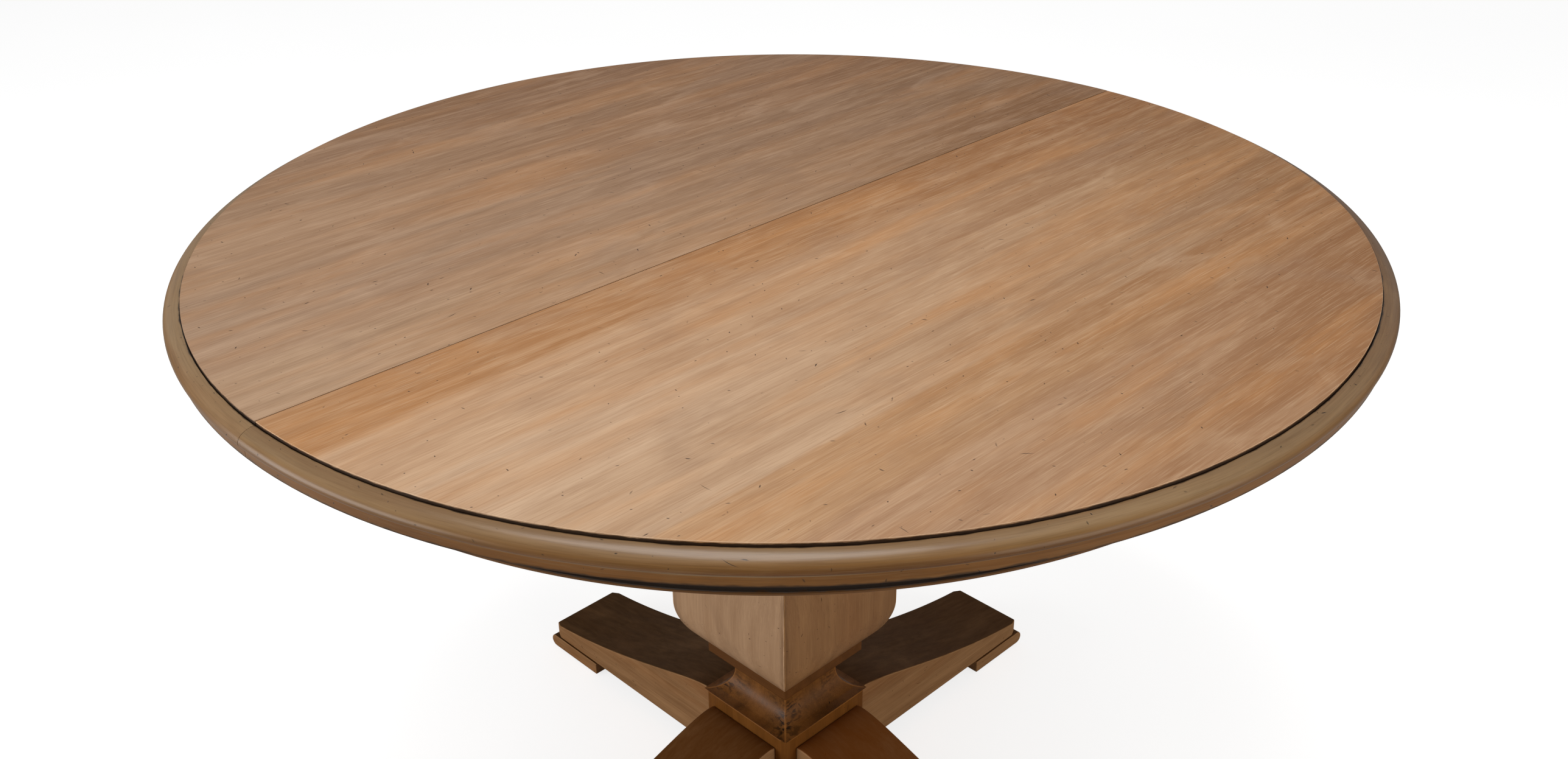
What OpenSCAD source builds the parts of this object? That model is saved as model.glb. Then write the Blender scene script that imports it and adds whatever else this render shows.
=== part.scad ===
// Round dining table on a square-section pedestal with four scrolled legs.
// The top is cut across the middle, and its halves slide apart on two geared slides.
// Millimetres. +Z is up, and the origin is on the floor under the middle of the table.
// The seam runs along Y, the halves slide along X, and the legs point along X and Y.

/* [Top] */
// Diameter of the closed top, over its moulded edge
top_d = 1219; // [1000:1:1500]
// Height of the top surface above the floor
table_h = 762; // [700:1:920]
// Thickness of the glued-up field panel
panel_t = 22; // [18:0.5:27]
// How far the moulded edge stands out beyond the field panel
rim_reach = 17.5; // [14:0.5:22]
// Height of the whole edge, from the field down to the underside of its fascia
edge_h = 29; // [27:0.5:40]
// Step down from the field panel to the moulded edge
rim_step = 3.5; // [1:0.5:6]
// Height of the round nose above its widest line
nose_rise = 11; // [8:0.5:14]
// How far the edge band reaches in under the field panel
rim_flange = 32; // [20:1:50]

/* [Apron] */
// Distance from the rim of the top in to the outer face of the apron
apron_inset = 67.5; // [50:0.5:100]
// Thickness of the apron board
apron_t = 18; // [14:0.5:24]
// Height of the apron board
apron_h = 44; // [36:1:70]
// Height of the bead under the apron board
bead_h = 9; // [7:0.5:14]
// How far the bead stands out beyond the apron board
bead_reach = 12; // [8:0.5:18]

/* [Slides] */
// Width of the extra leaf that the opened top takes
leaf_w = 457; // [300:1:560]
// Distance from the middle of the table out to each slide's centre rail
slide_y = 150; // [125:1:190]
// Width of a centre rail
rail_w = 26; // [22:1:32]
// Height of the centre rails and the runners
rail_h = 44; // [40:1:60]
// Length of a centre rail
rail_l = 600; // [520:1:720]
// Width of a runner
runner_w = 30; // [28:1:40]
// Side gap between a runner and its centre rail
slide_gap = 0.5; // [0.3:0.1:1]
// Teeth on a pinion
pinion_teeth = 18; // [17:1:24]
// Pitch diameter of a pinion for each of its teeth
tooth_size = 2; // [1.75:0.05:2.5]
// Radius of a pinion's axle
axle_r = 4; // [3:0.5:6]

/* [Pedestal] */
// Half width of the column at its belly
belly_half = 95; // [80:1:110]
// Half width of the column at its neck
neck_half = 56; // [50:1:75]
// Half width of the square hollow in the column
core_half = 38; // [30:1:42]
// Half width of the plinth
plinth_half = 72; // [64:1:90]
// Height of the plinth
plinth_h = 113; // [104:1:140]
// Height of the deep cove above the plinth
scotia_h = 59; // [45:1:75]
// Height of the square collar between the cove and the column
collar_h = 15; // [10:1:24]
// Height of the ring at the column's neck
ring_h = 14; // [10:1:20]
// Height of the capital
capital_h = 72; // [60:1:100]
// Thickness of the mounting plate
plate_t = 18; // [15:1:25]

/* [Base] */
// Distance from the middle of the table out to the end of a leg
leg_reach = 410; // [340:1:500]
// Width of a leg
leg_w = 109; // [90:1:118]
// Height of a leg where it meets the plinth, above its underside
leg_root_h = 94; // [85:1:105]
// Height of a leg's toe, above its underside
leg_toe_h = 20; // [15:1:30]
// Length of the flat part of a foot pad
pad_l = 91; // [60:1:120]
// Thickness of a foot pad
pad_t = 18; // [12:1:26]
// How far a foot pad stands out beyond the side of its leg
pad_side = 1.9; // [1:0.1:4]
// Thickness of a glide
glide_t = 2; // [1.5:0.5:4]

/* [Hidden] */
$fn = 96;

// Clearances and small common sizes
seam_gap = 0.6;
glue_gap = 0.2;
screw_fit = 0.05;
running_fit = 0.05;
lift = 2;
past = 1;

// Heights of the top and its slides
panel_z = table_h - panel_t;
edge_z = table_h - edge_h;
rail_z = panel_z - lift - rail_h;
runner_z = panel_z - rail_h;
rail_mid = rail_z + rail_h / 2;
plate_z = rail_z - plate_t;

// Radii of the top
top_r = top_d / 2;
field_r = top_r - rim_reach;
field_ease = 0.8;
flange_r = field_r - rim_flange;
apron_out_r = top_r - apron_inset;
apron_in_r = apron_out_r - apron_t;

// Outline of the moulded edge: a drooping round nose over a plain fascia
nose_reach = rim_reach - 1;
nose_z = table_h - rim_step - nose_rise;
under_reach = 6.5;
under_drop = 4.5;
fascia_set = 4.5;
fascia_z = nose_z - under_drop - 1;

// Slides: a travel each way of half the leaf
travel = leaf_w / 2;
runner_spare = 22;
runner_in = travel + runner_spare;
slide_outer = slide_y + rail_w / 2 + slide_gap + runner_w;
apron_gap = 7;
runner_out = sqrt(pow(apron_in_r, 2) - pow(slide_outer, 2)) - apron_gap;
groove_off = 13;
groove_h = 6.5;
groove_d = 5.5;
tongue_fit = 0.25;

// Gears: involute teeth at a pressure angle of 20 degrees
pressure = 20;
pitch_r = tooth_size * pinion_teeth / 2;
base_r = pitch_r * cos(pressure);
tooth_foot = 1.25 * tooth_size;
tip_r = pitch_r + 0.95 * tooth_size;
root_r = pitch_r - tooth_foot;
tooth_pitch = PI * tooth_size;
backlash = 0.3;
pinion_t = 7;
rack_h = 8;
rack_back = 4;
rack_spare = 20;
rack_tail = 24;
slot_half = tip_r + 1;
slot_h = 9;
axle_head_r = 7;
axle_head_t = 2;

// Screws with flat heads, and where they go
screw_r = 2.5;
screw_head_r = 5;
screw_head_t = 3;
screw_bite = 14;
sink_r = 5.5;
runner_sink = 16;
runner_screw_l = rail_h - runner_sink + screw_bite;
runner_screw_off = rail_w / 2 + slide_gap + 20.5;
runner_screw_from = 60;
runner_screw_end = 30;
rail_screw_xs = [-150, -70, 70, 150];
rail_screw_l = plate_t + 26;
mounting_screw_l = plate_t + 40;
mounting_screw_at = 56;

// Battens, glue blocks, pins and latches under the panels
batten_w = 44;
batten_h = 20;
batten_in = 60;
batten_gap = 45;
batten_screw_end = 30;
batten_screw_l = batten_h + screw_bite;
latch_throw = 50;
latch_w = 20;
latch_t = 3;
latch_end = 12;
latch_len = latch_throw + latch_end;
latch_boss_r = 11;
latch_tail = 34;
latch_tail_r = 6;
latch_inset = 104;
latch_y = apron_in_r - latch_inset;
latch_fit = 0.2;
latch_drop = 2;
latch_z = panel_z - latch_t - latch_drop;
pivot_r = 4;
pivot_flange_r = 8;
pivot_head_r = 7;
pivot_head_t = 3;
keeper_r = 3;
keeper_fit = 0.5;
batten_y = (slide_outer + latch_y - latch_len) / 2;
batten_out = sqrt(pow(apron_in_r, 2) - pow(batten_y + batten_w / 2, 2)) - batten_gap;
block_l = 60;
block_t = 18;
block_h = 30;
pin_r = 5;
pin_out = 12;
pin_in = 18;
pin_hole_fit = 0.3;
pin_hole_spare = 2;
pin_ys = [80, field_r - 110];

// Pedestal heights
leg_z = glide_t + pad_t;
scotia_z = leg_z + plinth_h;
collar_z = scotia_z + scotia_h;
shaft_z = collar_z + collar_h;
capital_z = plate_z - capital_h;
ring_z = capital_z - ring_h;

// Mounting plate
plate_half_x = 200;
plate_half_y = slide_y + rail_w / 2 + 20;

// Column outline: a round belly, then a long taper to the neck
belly_r = 78;
belly_up = 61;
belly_flat = 12;
collar_half = plinth_half - 5.5;
scotia_half = plinth_half - 28;
scotia_low = 31;
ring_half = neck_half + 8;
capital_half = neck_half + 28;
cove_h = 32;
plug_h = 40;
plinth_chamfer = 8.3;
plinth_core = 34;
plinth_top_web = 20;

// Base fittings
rod_r = 6;
rod_hole_r = 6.5;
rod_washer_r = 16;
rod_washer_t = 2;
rod_nut_h = 8;
rod_nut_w = 19;
rod_low_end = 1;
rod_high_end = 3;
base_plate_t = 4;
base_plate_w = 80;
base_plate_l = 340;
base_screw_as = [plinth_core + 19, plinth_half + 68];
base_screw_l = 18;
bolt_r = 4;
bolt_in = 20;
bolt_out = plinth_half + 68;
bolt_zs = [leg_z + 28, leg_z + 68];
bolt_washer_r = 9;
bolt_washer_t = 1.6;
bolt_nut_h = 6.5;
bolt_nut_w = 13;
dowel_r = 6;
dowel_z = leg_z + 48;
dowel_y = 36;
dowel_in = 20;
dowel_out = 30;
pad_nose_r = pad_t / 2;
pad_lead = 1;
toe_round = 5;

// Handles of the curve along the top of a leg, from its root and from its toe
root_pull = [33, 12];
toe_pull = [-175, 19];

glide_r = 11;
glide_as = [leg_reach - 70, leg_reach - 20];

// Points of an elliptical arc about [cx, cy]
function arc(cx, cy, rx, ry, from, to, steps) =
    [for (i = [0:steps]) let (a = from + (to - from) * i / steps) [cx + rx * cos(a), cy + ry * sin(a)]];

// Point at t on the cubic curve with ends p and s and handles q and r
function cubic(p, q, r, s, t) =
    pow(1 - t, 3) * p + 3 * t * pow(1 - t, 2) * q + 3 * t * t * (1 - t) * r + pow(t, 3) * s;

// An outline's right side, closed by its mirror image
function both_sides(side) =
    concat(side, [for (i = [len(side) - 1:-1:0]) [-side[i][0], side[i][1]]]);

module right_of_seam() {
    intersection() {
        children();
        translate([seam_gap / 2, -top_d, 0]) cube([top_d * 2, top_d * 2, table_h * 2]);
    }
}

// The left half of the top is the right half turned round, so that its runners pass the right ones
module as_left() rotate([0, 0, 180]) children();

// Solid of square section whose half width follows an outline, as on square turned work
module square_turned(side) {
    span = 4 * belly_half;
    intersection() {
        translate([0, span / 2, 0]) rotate([90, 0, 0])
            linear_extrude(height = span) polygon(both_sides(side));
        rotate([0, 0, 90]) translate([0, span / 2, 0]) rotate([90, 0, 0])
            linear_extrude(height = span) polygon(both_sides(side));
    }
}

module rod_hole(z, h) {
    translate([0, 0, z - past]) cylinder(r = rod_hole_r, h = h + 2 * past);
}

// Screw standing point up, with the underside of its head at the origin
module screw(length) {
    translate([0, 0, -screw_head_t]) cylinder(r = screw_head_r, h = screw_head_t, $fn = 32);
    cylinder(r = screw_r, h = length, $fn = 32);
}

module hex_nut(across, hole_r, h) {
    difference() {
        cylinder(r = across / sqrt(3), h = h, $fn = 6);
        translate([0, 0, -past]) cylinder(r = hole_r, h = h + 2 * past);
    }
}

module washer(outer_r, hole_r, h) {
    difference() {
        cylinder(r = outer_r, h = h);
        translate([0, 0, -past]) cylinder(r = hole_r, h = h + 2 * past);
    }
}

// ---- Foot pads, legs and plinth ----

module foot_pad(turn) {
    half = leg_w / 2 + pad_side;
    nose_a = leg_reach - pad_lead;
    color("saddlebrown") rotate([0, 0, turn]) union() {
        translate([nose_a - pad_l, -half, glide_t]) cube([pad_l, 2 * half, pad_t]);
        translate([nose_a, half, glide_t + pad_nose_r]) rotate([90, 0, 0])
            cylinder(r = pad_nose_r, h = 2 * half);
    }
}

module foot_pad_right() foot_pad(0);
module foot_pad_back() foot_pad(90);
module foot_pad_left() foot_pad(180);
module foot_pad_front() foot_pad(270);

module glides() {
    color("dimgray") for (turn = [0:90:270]) rotate([0, 0, turn])
        for (a = glide_as) translate([a, 0, 0]) cylinder(r = glide_r, h = glide_t);
}

// Side outline of a leg: flat below, with a long falling scroll above
module leg_outline() {
    root = [plinth_half, leg_z + leg_root_h];
    toe = [leg_reach, leg_z + leg_toe_h];
    polygon(concat(
        [[plinth_half, leg_z], [leg_reach, leg_z]],
        [for (i = [0:24]) cubic(toe, toe + toe_pull, root + root_pull, root, i / 24)]
    ));
}

module leg_plan() {
    union() {
        translate([plinth_half, -leg_w / 2]) square([leg_reach - plinth_half - toe_round, leg_w]);
        translate([leg_reach - toe_round - past, -leg_w / 2 + toe_round])
            square([toe_round + past, leg_w - 2 * toe_round]);
        for (side = [-1, 1])
            translate([leg_reach - toe_round, side * (leg_w / 2 - toe_round)]) circle(r = toe_round);
    }
}

module bolt_line(radius, from, to) {
    for (z = bolt_zs) translate([from, 0, z]) rotate([0, 90, 0]) cylinder(r = radius, h = to - from);
}

module dowel_line(radius, from, to) {
    for (side = [-1, 1]) translate([from, side * dowel_y, dowel_z]) rotate([0, 90, 0])
        cylinder(r = radius, h = to - from);
}

module leg(turn) {
    color("sienna") rotate([0, 0, turn]) difference() {
        intersection() {
            translate([0, leg_w, 0]) rotate([90, 0, 0]) linear_extrude(height = 2 * leg_w) leg_outline();
            linear_extrude(height = leg_z + 2 * leg_root_h) leg_plan();
        }
        bolt_line(bolt_r + screw_fit, plinth_half - past, bolt_out + past);
        dowel_line(dowel_r + screw_fit, plinth_half - past, plinth_half + dowel_out + past);
        translate([base_screw_as[1], 0, leg_z - past])
            cylinder(r = screw_r + screw_fit, h = base_screw_l + past);
    }
}

module leg_right() leg(0);
module leg_back() leg(90);
module leg_left() leg(180);
module leg_front() leg(270);

module leg_dowels() {
    color("burlywood") for (turn = [0:90:270]) rotate([0, 0, turn])
        dowel_line(dowel_r, plinth_half - dowel_in, plinth_half + dowel_out);
}

module leg_bolts() {
    color("silver") for (turn = [0:90:270]) rotate([0, 0, turn]) bolt_line(bolt_r, bolt_in, bolt_out);
}

module leg_bolt_washers() {
    color("silver") for (turn = [0:90:270]) rotate([0, 0, turn])
        for (z = bolt_zs) translate([plinth_core - bolt_washer_t, 0, z]) rotate([0, 90, 0])
            washer(bolt_washer_r, bolt_r + screw_fit, bolt_washer_t);
}

module leg_bolt_nuts() {
    color("silver") for (turn = [0:90:270]) rotate([0, 0, turn])
        for (z = bolt_zs) translate([plinth_core - bolt_washer_t - bolt_nut_h, 0, z]) rotate([0, 90, 0])
            hex_nut(bolt_nut_w, bolt_r + screw_fit, bolt_nut_h);
}

module plinth_plan() {
    edge = plinth_half - plinth_chamfer;
    polygon([
        [plinth_half, edge], [edge, plinth_half], [-edge, plinth_half], [-plinth_half, edge],
        [-plinth_half, -edge], [-edge, -plinth_half], [edge, -plinth_half], [plinth_half, -edge]
    ]);
}

module plinth() {
    color("saddlebrown") difference() {
        translate([0, 0, leg_z]) linear_extrude(height = plinth_h) plinth_plan();
        translate([-plinth_core, -plinth_core, leg_z - past])
            cube([2 * plinth_core, 2 * plinth_core, plinth_h - plinth_top_web + past]);
        rod_hole(leg_z, plinth_h);
        for (turn = [0:90:270]) rotate([0, 0, turn]) {
            bolt_line(bolt_r + screw_fit, plinth_core - past, plinth_half + past);
            dowel_line(dowel_r + screw_fit, plinth_half - dowel_in, plinth_half + past);
            translate([base_screw_as[0], 0, leg_z - past])
                cylinder(r = screw_r + screw_fit, h = base_screw_l + past);
        }
    }
}

module base_plate() {
    color("dimgray") difference() {
        translate([0, 0, leg_z - base_plate_t]) union() {
            translate([-base_plate_l / 2, -base_plate_w / 2, 0])
                cube([base_plate_l, base_plate_w, base_plate_t]);
            translate([-base_plate_w / 2, -base_plate_l / 2, 0])
                cube([base_plate_w, base_plate_l, base_plate_t]);
        }
        rod_hole(leg_z - base_plate_t, base_plate_t);
        for (turn = [0:90:270]) rotate([0, 0, turn]) for (a = base_screw_as)
            translate([a, 0, leg_z - base_plate_t - past])
                cylinder(r = screw_r + screw_fit, h = base_plate_t + 2 * past);
    }
}

module base_plate_screws() {
    color("silver") for (turn = [0:90:270]) rotate([0, 0, turn]) for (a = base_screw_as)
        translate([a, 0, leg_z - base_plate_t]) screw(base_screw_l + base_plate_t - past);
}

// ---- Column ----

module scotia_block() {
    color("saddlebrown") difference() {
        square_turned(concat(
            arc(plinth_half, scotia_z + scotia_low, plinth_half - scotia_half, scotia_low, 270, 180, 10),
            arc(collar_half, scotia_z + scotia_low, collar_half - scotia_half, scotia_h - scotia_low,
                180, 90, 8)
        ));
        rod_hole(scotia_z, scotia_h);
    }
}

module neck_collar() {
    ease = 2;
    color("peru") difference() {
        square_turned([
            [collar_half - ease, collar_z], [collar_half, collar_z + ease],
            [collar_half, collar_z + collar_h - ease], [collar_half - ease, collar_z + collar_h]
        ]);
        rod_hole(collar_z, collar_h);
    }
}

// Half of one stave's section: belly and taper outside, the straight hollow inside
function stave_side() =
    let (belly_z = shaft_z + belly_up, taper_z = belly_z + belly_flat, taper_h = ring_z - taper_z)
    concat(
        arc(belly_half - belly_r, belly_z, belly_r, belly_r, -asin(belly_up / belly_r), 0, 10),
        [for (i = [0:16]) [
            neck_half + (belly_half - neck_half) * (1 + cos(180 * i / 16)) / 2,
            taper_z + taper_h * i / 16
        ]],
        [[core_half, ring_z], [core_half, shaft_z]]
    );

module column_stave(turn) {
    span = 2 * belly_half;
    color("peru") rotate([0, 0, turn]) intersection() {
        translate([0, span / 2, 0]) rotate([90, 0, 0]) linear_extrude(height = span) polygon(stave_side());
        linear_extrude(height = table_h) polygon([[0, 0], [span, span], [span, -span]]);
    }
}

module column_stave_right() column_stave(0);
module column_stave_back() column_stave(90);
module column_stave_left() column_stave(180);
module column_stave_front() column_stave(270);

module column_plugs() {
    color("burlywood") for (z = [shaft_z, ring_z - plug_h]) difference() {
        translate([-core_half, -core_half, z]) cube([2 * core_half, 2 * core_half, plug_h]);
        rod_hole(z, plug_h);
    }
}

module neck_ring() {
    color("peru") difference() {
        square_turned(arc(
            ring_half - ring_h / 2, ring_z + ring_h / 2, ring_h / 2, ring_h / 2, -90, 90, 10
        ));
        rod_hole(ring_z, ring_h);
    }
}

module capital() {
    block_z = capital_z + cove_h;
    fillet = 5;
    color("peru") difference() {
        square_turned(concat(
            arc(capital_half - fillet, capital_z, capital_half - fillet - neck_half, cove_h, 180, 90, 8),
            [[capital_half, block_z], [capital_half, plate_z]]
        ));
        rod_hole(capital_z, capital_h);
        mounting_screw_places() translate([0, 0, -mounting_screw_l - past])
            cylinder(r = screw_r + screw_fit, h = mounting_screw_l + past);
    }
}

module mounting_screw_places() {
    for (x = [-1, 1]) for (y = [-1, 1])
        translate([x * mounting_screw_at, y * mounting_screw_at, rail_z]) children();
}

module mounting_screws() {
    color("silver") mounting_screw_places() mirror([0, 0, 1]) screw(mounting_screw_l);
}

module tie_rod() {
    low = leg_z - base_plate_t - rod_washer_t - rod_nut_h - rod_low_end;
    high = rail_z + rod_washer_t + rod_nut_h + rod_high_end;
    color("silver") translate([0, 0, low]) cylinder(r = rod_r, h = high - low);
}

module tie_rod_washers() {
    color("silver") for (z = [leg_z - base_plate_t - rod_washer_t, rail_z])
        translate([0, 0, z]) washer(rod_washer_r, rod_r + screw_fit, rod_washer_t);
}

module tie_rod_nuts() {
    color("silver") for (z = [leg_z - base_plate_t - rod_washer_t - rod_nut_h, rail_z + rod_washer_t])
        translate([0, 0, z]) hex_nut(rod_nut_w, rod_r + screw_fit, rod_nut_h);
}

// ---- Mounting plate, centre rails and pinions ----

module rail_screw_places() {
    for (side = [-1, 1]) for (x = rail_screw_xs) translate([x, side * slide_y, plate_z]) children();
}

module mounting_plate() {
    color("tan") difference() {
        translate([-plate_half_x, -plate_half_y, plate_z])
            cube([2 * plate_half_x, 2 * plate_half_y, plate_t]);
        rod_hole(plate_z, plate_t);
        rail_screw_places() translate([0, 0, -past])
            cylinder(r = screw_r + screw_fit, h = plate_t + 2 * past);
        mounting_screw_places() translate([0, 0, -plate_t - past])
            cylinder(r = screw_r + screw_fit, h = plate_t + 2 * past);
    }
}

module rail_screws() {
    color("silver") rail_screw_places() screw(rail_screw_l);
}

module center_rail(side) {
    color("burlywood") difference() {
        translate([-rail_l / 2, side * slide_y - rail_w / 2, rail_z]) cube([rail_l, rail_w, rail_h]);
        for (face = [-1, 1]) for (level = [-1, 1])
            translate([
                -rail_l / 2 - past,
                side * slide_y + face * rail_w / 2 - groove_d,
                rail_mid + level * groove_off - groove_h / 2
            ]) cube([rail_l + 2 * past, 2 * groove_d, groove_h]);
        translate([-slot_half, side * slide_y - rail_w, rail_mid - slot_h / 2])
            cube([2 * slot_half, 2 * rail_w, slot_h]);
        translate([0, side * slide_y, rail_z - past])
            cylinder(r = axle_r + screw_fit, h = rail_h + 2 * past);
        translate([0, side * slide_y, rail_z + rail_h - axle_head_t])
            cylinder(r = axle_head_r + screw_fit, h = axle_head_t + past);
        rail_screw_places() cylinder(r = screw_r + screw_fit, h = rail_screw_l + past);
    }
}

module center_rail_front() center_rail(-1);
module center_rail_back() center_rail(1);

module pinion_axles() {
    color("silver") for (side = [-1, 1]) translate([0, side * slide_y, rail_z]) union() {
        cylinder(r = axle_r, h = rail_h);
        translate([0, 0, rail_h - axle_head_t]) cylinder(r = axle_head_r, h = axle_head_t);
    }
}

function involute(angle) = tan(angle) * 180 / PI - angle;

// Half the angle that a pinion tooth fills at radius r
function tooth_half(r) =
    90 / pinion_teeth + involute(pressure) - involute(acos(min(1, base_r / r)));

function pinion_tooth(middle) =
    let (radii = [for (i = [0:4]) base_r + (tip_r - base_r) * i / 4], foot = tooth_half(base_r))
    concat(
        [root_r * [cos(middle - foot), sin(middle - foot)]],
        [for (r = radii) r * [cos(middle - tooth_half(r)), sin(middle - tooth_half(r))]],
        [for (i = [4:-1:0]) radii[i] * [
            cos(middle + tooth_half(radii[i])), sin(middle + tooth_half(radii[i]))
        ]],
        [root_r * [cos(middle + foot), sin(middle + foot)]]
    );

module pinion(side) {
    points = [for (k = [0:pinion_teeth - 1]) each pinion_tooth(90 + k * 360 / pinion_teeth)];
    color("goldenrod") translate([0, side * slide_y, rail_mid - pinion_t / 2]) difference() {
        linear_extrude(height = pinion_t) polygon(points);
        translate([0, 0, -past]) cylinder(r = axle_r + running_fit, h = pinion_t + 2 * past);
    }
}

module pinion_front() pinion(-1);
module pinion_back() pinion(1);

// ---- One half of the top, built on the right ----

module runner_screw_places() {
    span = runner_out - runner_screw_from - runner_screw_end;
    for (side = [-1, 1]) for (i = [0:3])
        translate([
            runner_screw_from + span * i / 3,
            side * slide_y - runner_screw_off,
            runner_z + runner_sink
        ]) children();
}

module batten_screw_places() {
    span = batten_out - batten_in - 2 * batten_screw_end;
    for (side = [-1, 1]) for (i = [0:2])
        translate([
            batten_in + batten_screw_end + span * i / 2,
            side * batten_y,
            panel_z - batten_h
        ]) children();
}

module half_panel() {
    right_of_seam() difference() {
        translate([0, 0, panel_z]) union() {
            cylinder(r = field_r, h = panel_t - field_ease);
            translate([0, 0, panel_t - field_ease])
                cylinder(r1 = field_r, r2 = field_r - field_ease, h = field_ease);
        }
        runner_screw_places() cylinder(r = screw_r + screw_fit, h = runner_screw_l + past);
        batten_screw_places() cylinder(r = screw_r + screw_fit, h = batten_screw_l + past);
    }
}

module pin_places() {
    for (side = [-1, 1]) for (y = pin_ys) translate([0, side * y, panel_z + panel_t / 2])
        rotate([0, 90, 0]) children();
}

module right_panel() {
    color("burlywood") difference() {
        half_panel();
        pin_places() cylinder(r = pin_r + screw_fit, h = pin_in);
        for (side = [-1, 1]) translate([latch_throw / 2, side * latch_y, panel_z - past])
            cylinder(r = screw_r + screw_fit, h = screw_bite + past);
    }
}

module left_panel() {
    color("tan") difference() {
        as_left() half_panel();
        pin_places() mirror([0, 0, 1]) cylinder(r = pin_r + pin_hole_fit, h = pin_out + pin_hole_spare);
        for (side = [-1, 1]) translate([-latch_throw / 2, side * latch_y, panel_z - past])
            cylinder(r = screw_r + screw_fit, h = screw_bite + past);
    }
}

module alignment_pins() {
    color("peru") pin_places() translate([0, 0, -pin_out]) cylinder(r = pin_r, h = pin_in + pin_out);
}

module rim_outline() {
    polygon(concat(
        arc(top_r - nose_reach, nose_z, nose_reach, nose_rise, 90, 0, 12),
        arc(top_r - under_reach, nose_z, under_reach, under_drop, -15, -90, 5),
        [
            [top_r - fascia_set, fascia_z], [top_r - fascia_set, edge_z],
            [flange_r, edge_z], [flange_r, panel_z],
            [field_r + glue_gap, panel_z], [field_r + glue_gap, table_h - rim_step]
        ]
    ));
}

module half_rim() right_of_seam() rotate_extrude() rim_outline();

module right_rim() color("peru") half_rim();
module left_rim() color("peru") as_left() half_rim();

module half_apron() {
    right_of_seam() translate([0, 0, panel_z - apron_h]) difference() {
        cylinder(r = apron_out_r, h = apron_h);
        translate([0, 0, -past]) cylinder(r = apron_in_r, h = apron_h + 2 * past);
    }
}

module right_apron() color("peru") half_apron();
module left_apron() color("peru") as_left() half_apron();

// Bead under the apron: a plain lip with a shallow cove falling to it
module bead_outline() {
    low = panel_z - apron_h - bead_h;
    lip_r = apron_out_r + bead_reach;
    lip_h = 3.5;
    ease = 1;
    cove_r = lip_r - 2;
    cove_reach = bead_reach - 3;
    polygon(concat(
        [
            [apron_in_r, low], [lip_r - ease, low], [lip_r, low + ease],
            [lip_r, low + lip_h - ease], [lip_r - ease, low + lip_h]
        ],
        arc(cove_r, low + bead_h, cove_reach, bead_h - lip_h, 270, 180, 6),
        [[apron_in_r, low + bead_h]]
    ));
}

module half_bead() right_of_seam() rotate_extrude() bead_outline();

module right_bead() color("sienna") half_bead();
module left_bead() color("sienna") as_left() half_bead();

// A runner slides on one side of its centre rail: its tongues ride in the rail's grooves
module half_runners() {
    inner = rail_w / 2 + slide_gap;
    tongue_h = groove_h - 2 * tongue_fit;
    rack_seat = pitch_r + tooth_foot + rack_back;
    length = runner_in + runner_out;
    for (side = [-1, 1]) difference() {
        translate([-runner_in, side * slide_y - inner, 0]) union() {
            translate([0, -runner_w, runner_z]) cube([length, runner_w, rail_h]);
            for (level = [-1, 1])
                translate([0, -past, rail_mid + level * groove_off - tongue_h / 2])
                    cube([length, groove_d + past, tongue_h]);
        }
        translate([-runner_in - past, side * slide_y - rack_seat, rail_mid - rack_h / 2])
            cube([length + 2 * past, rack_seat - inner + past, rack_h]);
        runner_screw_places() {
            cylinder(r = screw_r + screw_fit, h = rail_h);
            translate([0, 0, -runner_sink - past]) cylinder(r = sink_r, h = runner_sink + past);
        }
    }
}

module right_runners() color("tan") half_runners();
module left_runners() color("tan") as_left() half_runners();

// Corners of one rack tooth whose middle is at x, on a rack that lies below the pinion
function rack_tooth(x) =
    let (half = (tooth_pitch / 2 - backlash) / 2, slope = tan(pressure))
    let (low = half + tooth_foot * slope, high = half - tooth_size * slope)
    [
        [x - low, -pitch_r - tooth_foot], [x - high, -pitch_r + tooth_size],
        [x + high, -pitch_r + tooth_size], [x + low, -pitch_r - tooth_foot]
    ];

module half_racks() {
    from = -travel - rack_spare;
    foot_y = -pitch_r - tooth_foot;
    back_y = foot_y - rack_back;
    first = ceil(from / tooth_pitch) + 1;
    last = floor(rack_tail / tooth_pitch) - 2;
    teeth = [for (k = [first:last]) each rack_tooth((k + 0.5) * tooth_pitch)];
    near = [[from, back_y], [from, foot_y]];
    far = [[rack_tail, foot_y], [rack_tail, back_y]];
    for (side = [-1, 1]) translate([0, side * slide_y, rail_mid - rack_h / 2])
        linear_extrude(height = rack_h) polygon(concat(near, teeth, far));
}

module right_racks() color("goldenrod") half_racks();
module left_racks() color("goldenrod") as_left() half_racks();

module half_battens() {
    for (side = [-1, 1]) difference() {
        translate([batten_in, side * batten_y - batten_w / 2, panel_z - batten_h])
            cube([batten_out - batten_in, batten_w, batten_h]);
        batten_screw_places() translate([0, 0, -past]) cylinder(r = screw_r + screw_fit, h = rail_h);
    }
}

module right_battens() color("tan") half_battens();
module left_battens() color("tan") as_left() half_battens();

// Blocks glued into the corner between the apron and the panel
module half_blocks() {
    seat = sqrt(pow(apron_in_r, 2) - pow(block_l / 2, 2)) - glue_gap;
    for (turn = [-65, -35, 35, 65]) rotate([0, 0, turn])
        translate([seat - block_t, -block_l / 2, panel_z - block_h]) cube([block_t, block_l, block_h]);
}

module right_blocks() color("burlywood") half_blocks();
module left_blocks() color("burlywood") as_left() half_blocks();

module half_screws() {
    runner_screw_places() screw(runner_screw_l);
    batten_screw_places() screw(batten_screw_l);
}

module right_screws() color("silver") half_screws();
module left_screws() color("silver") as_left() half_screws();

// ---- Latches that hold the halves together ----

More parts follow.
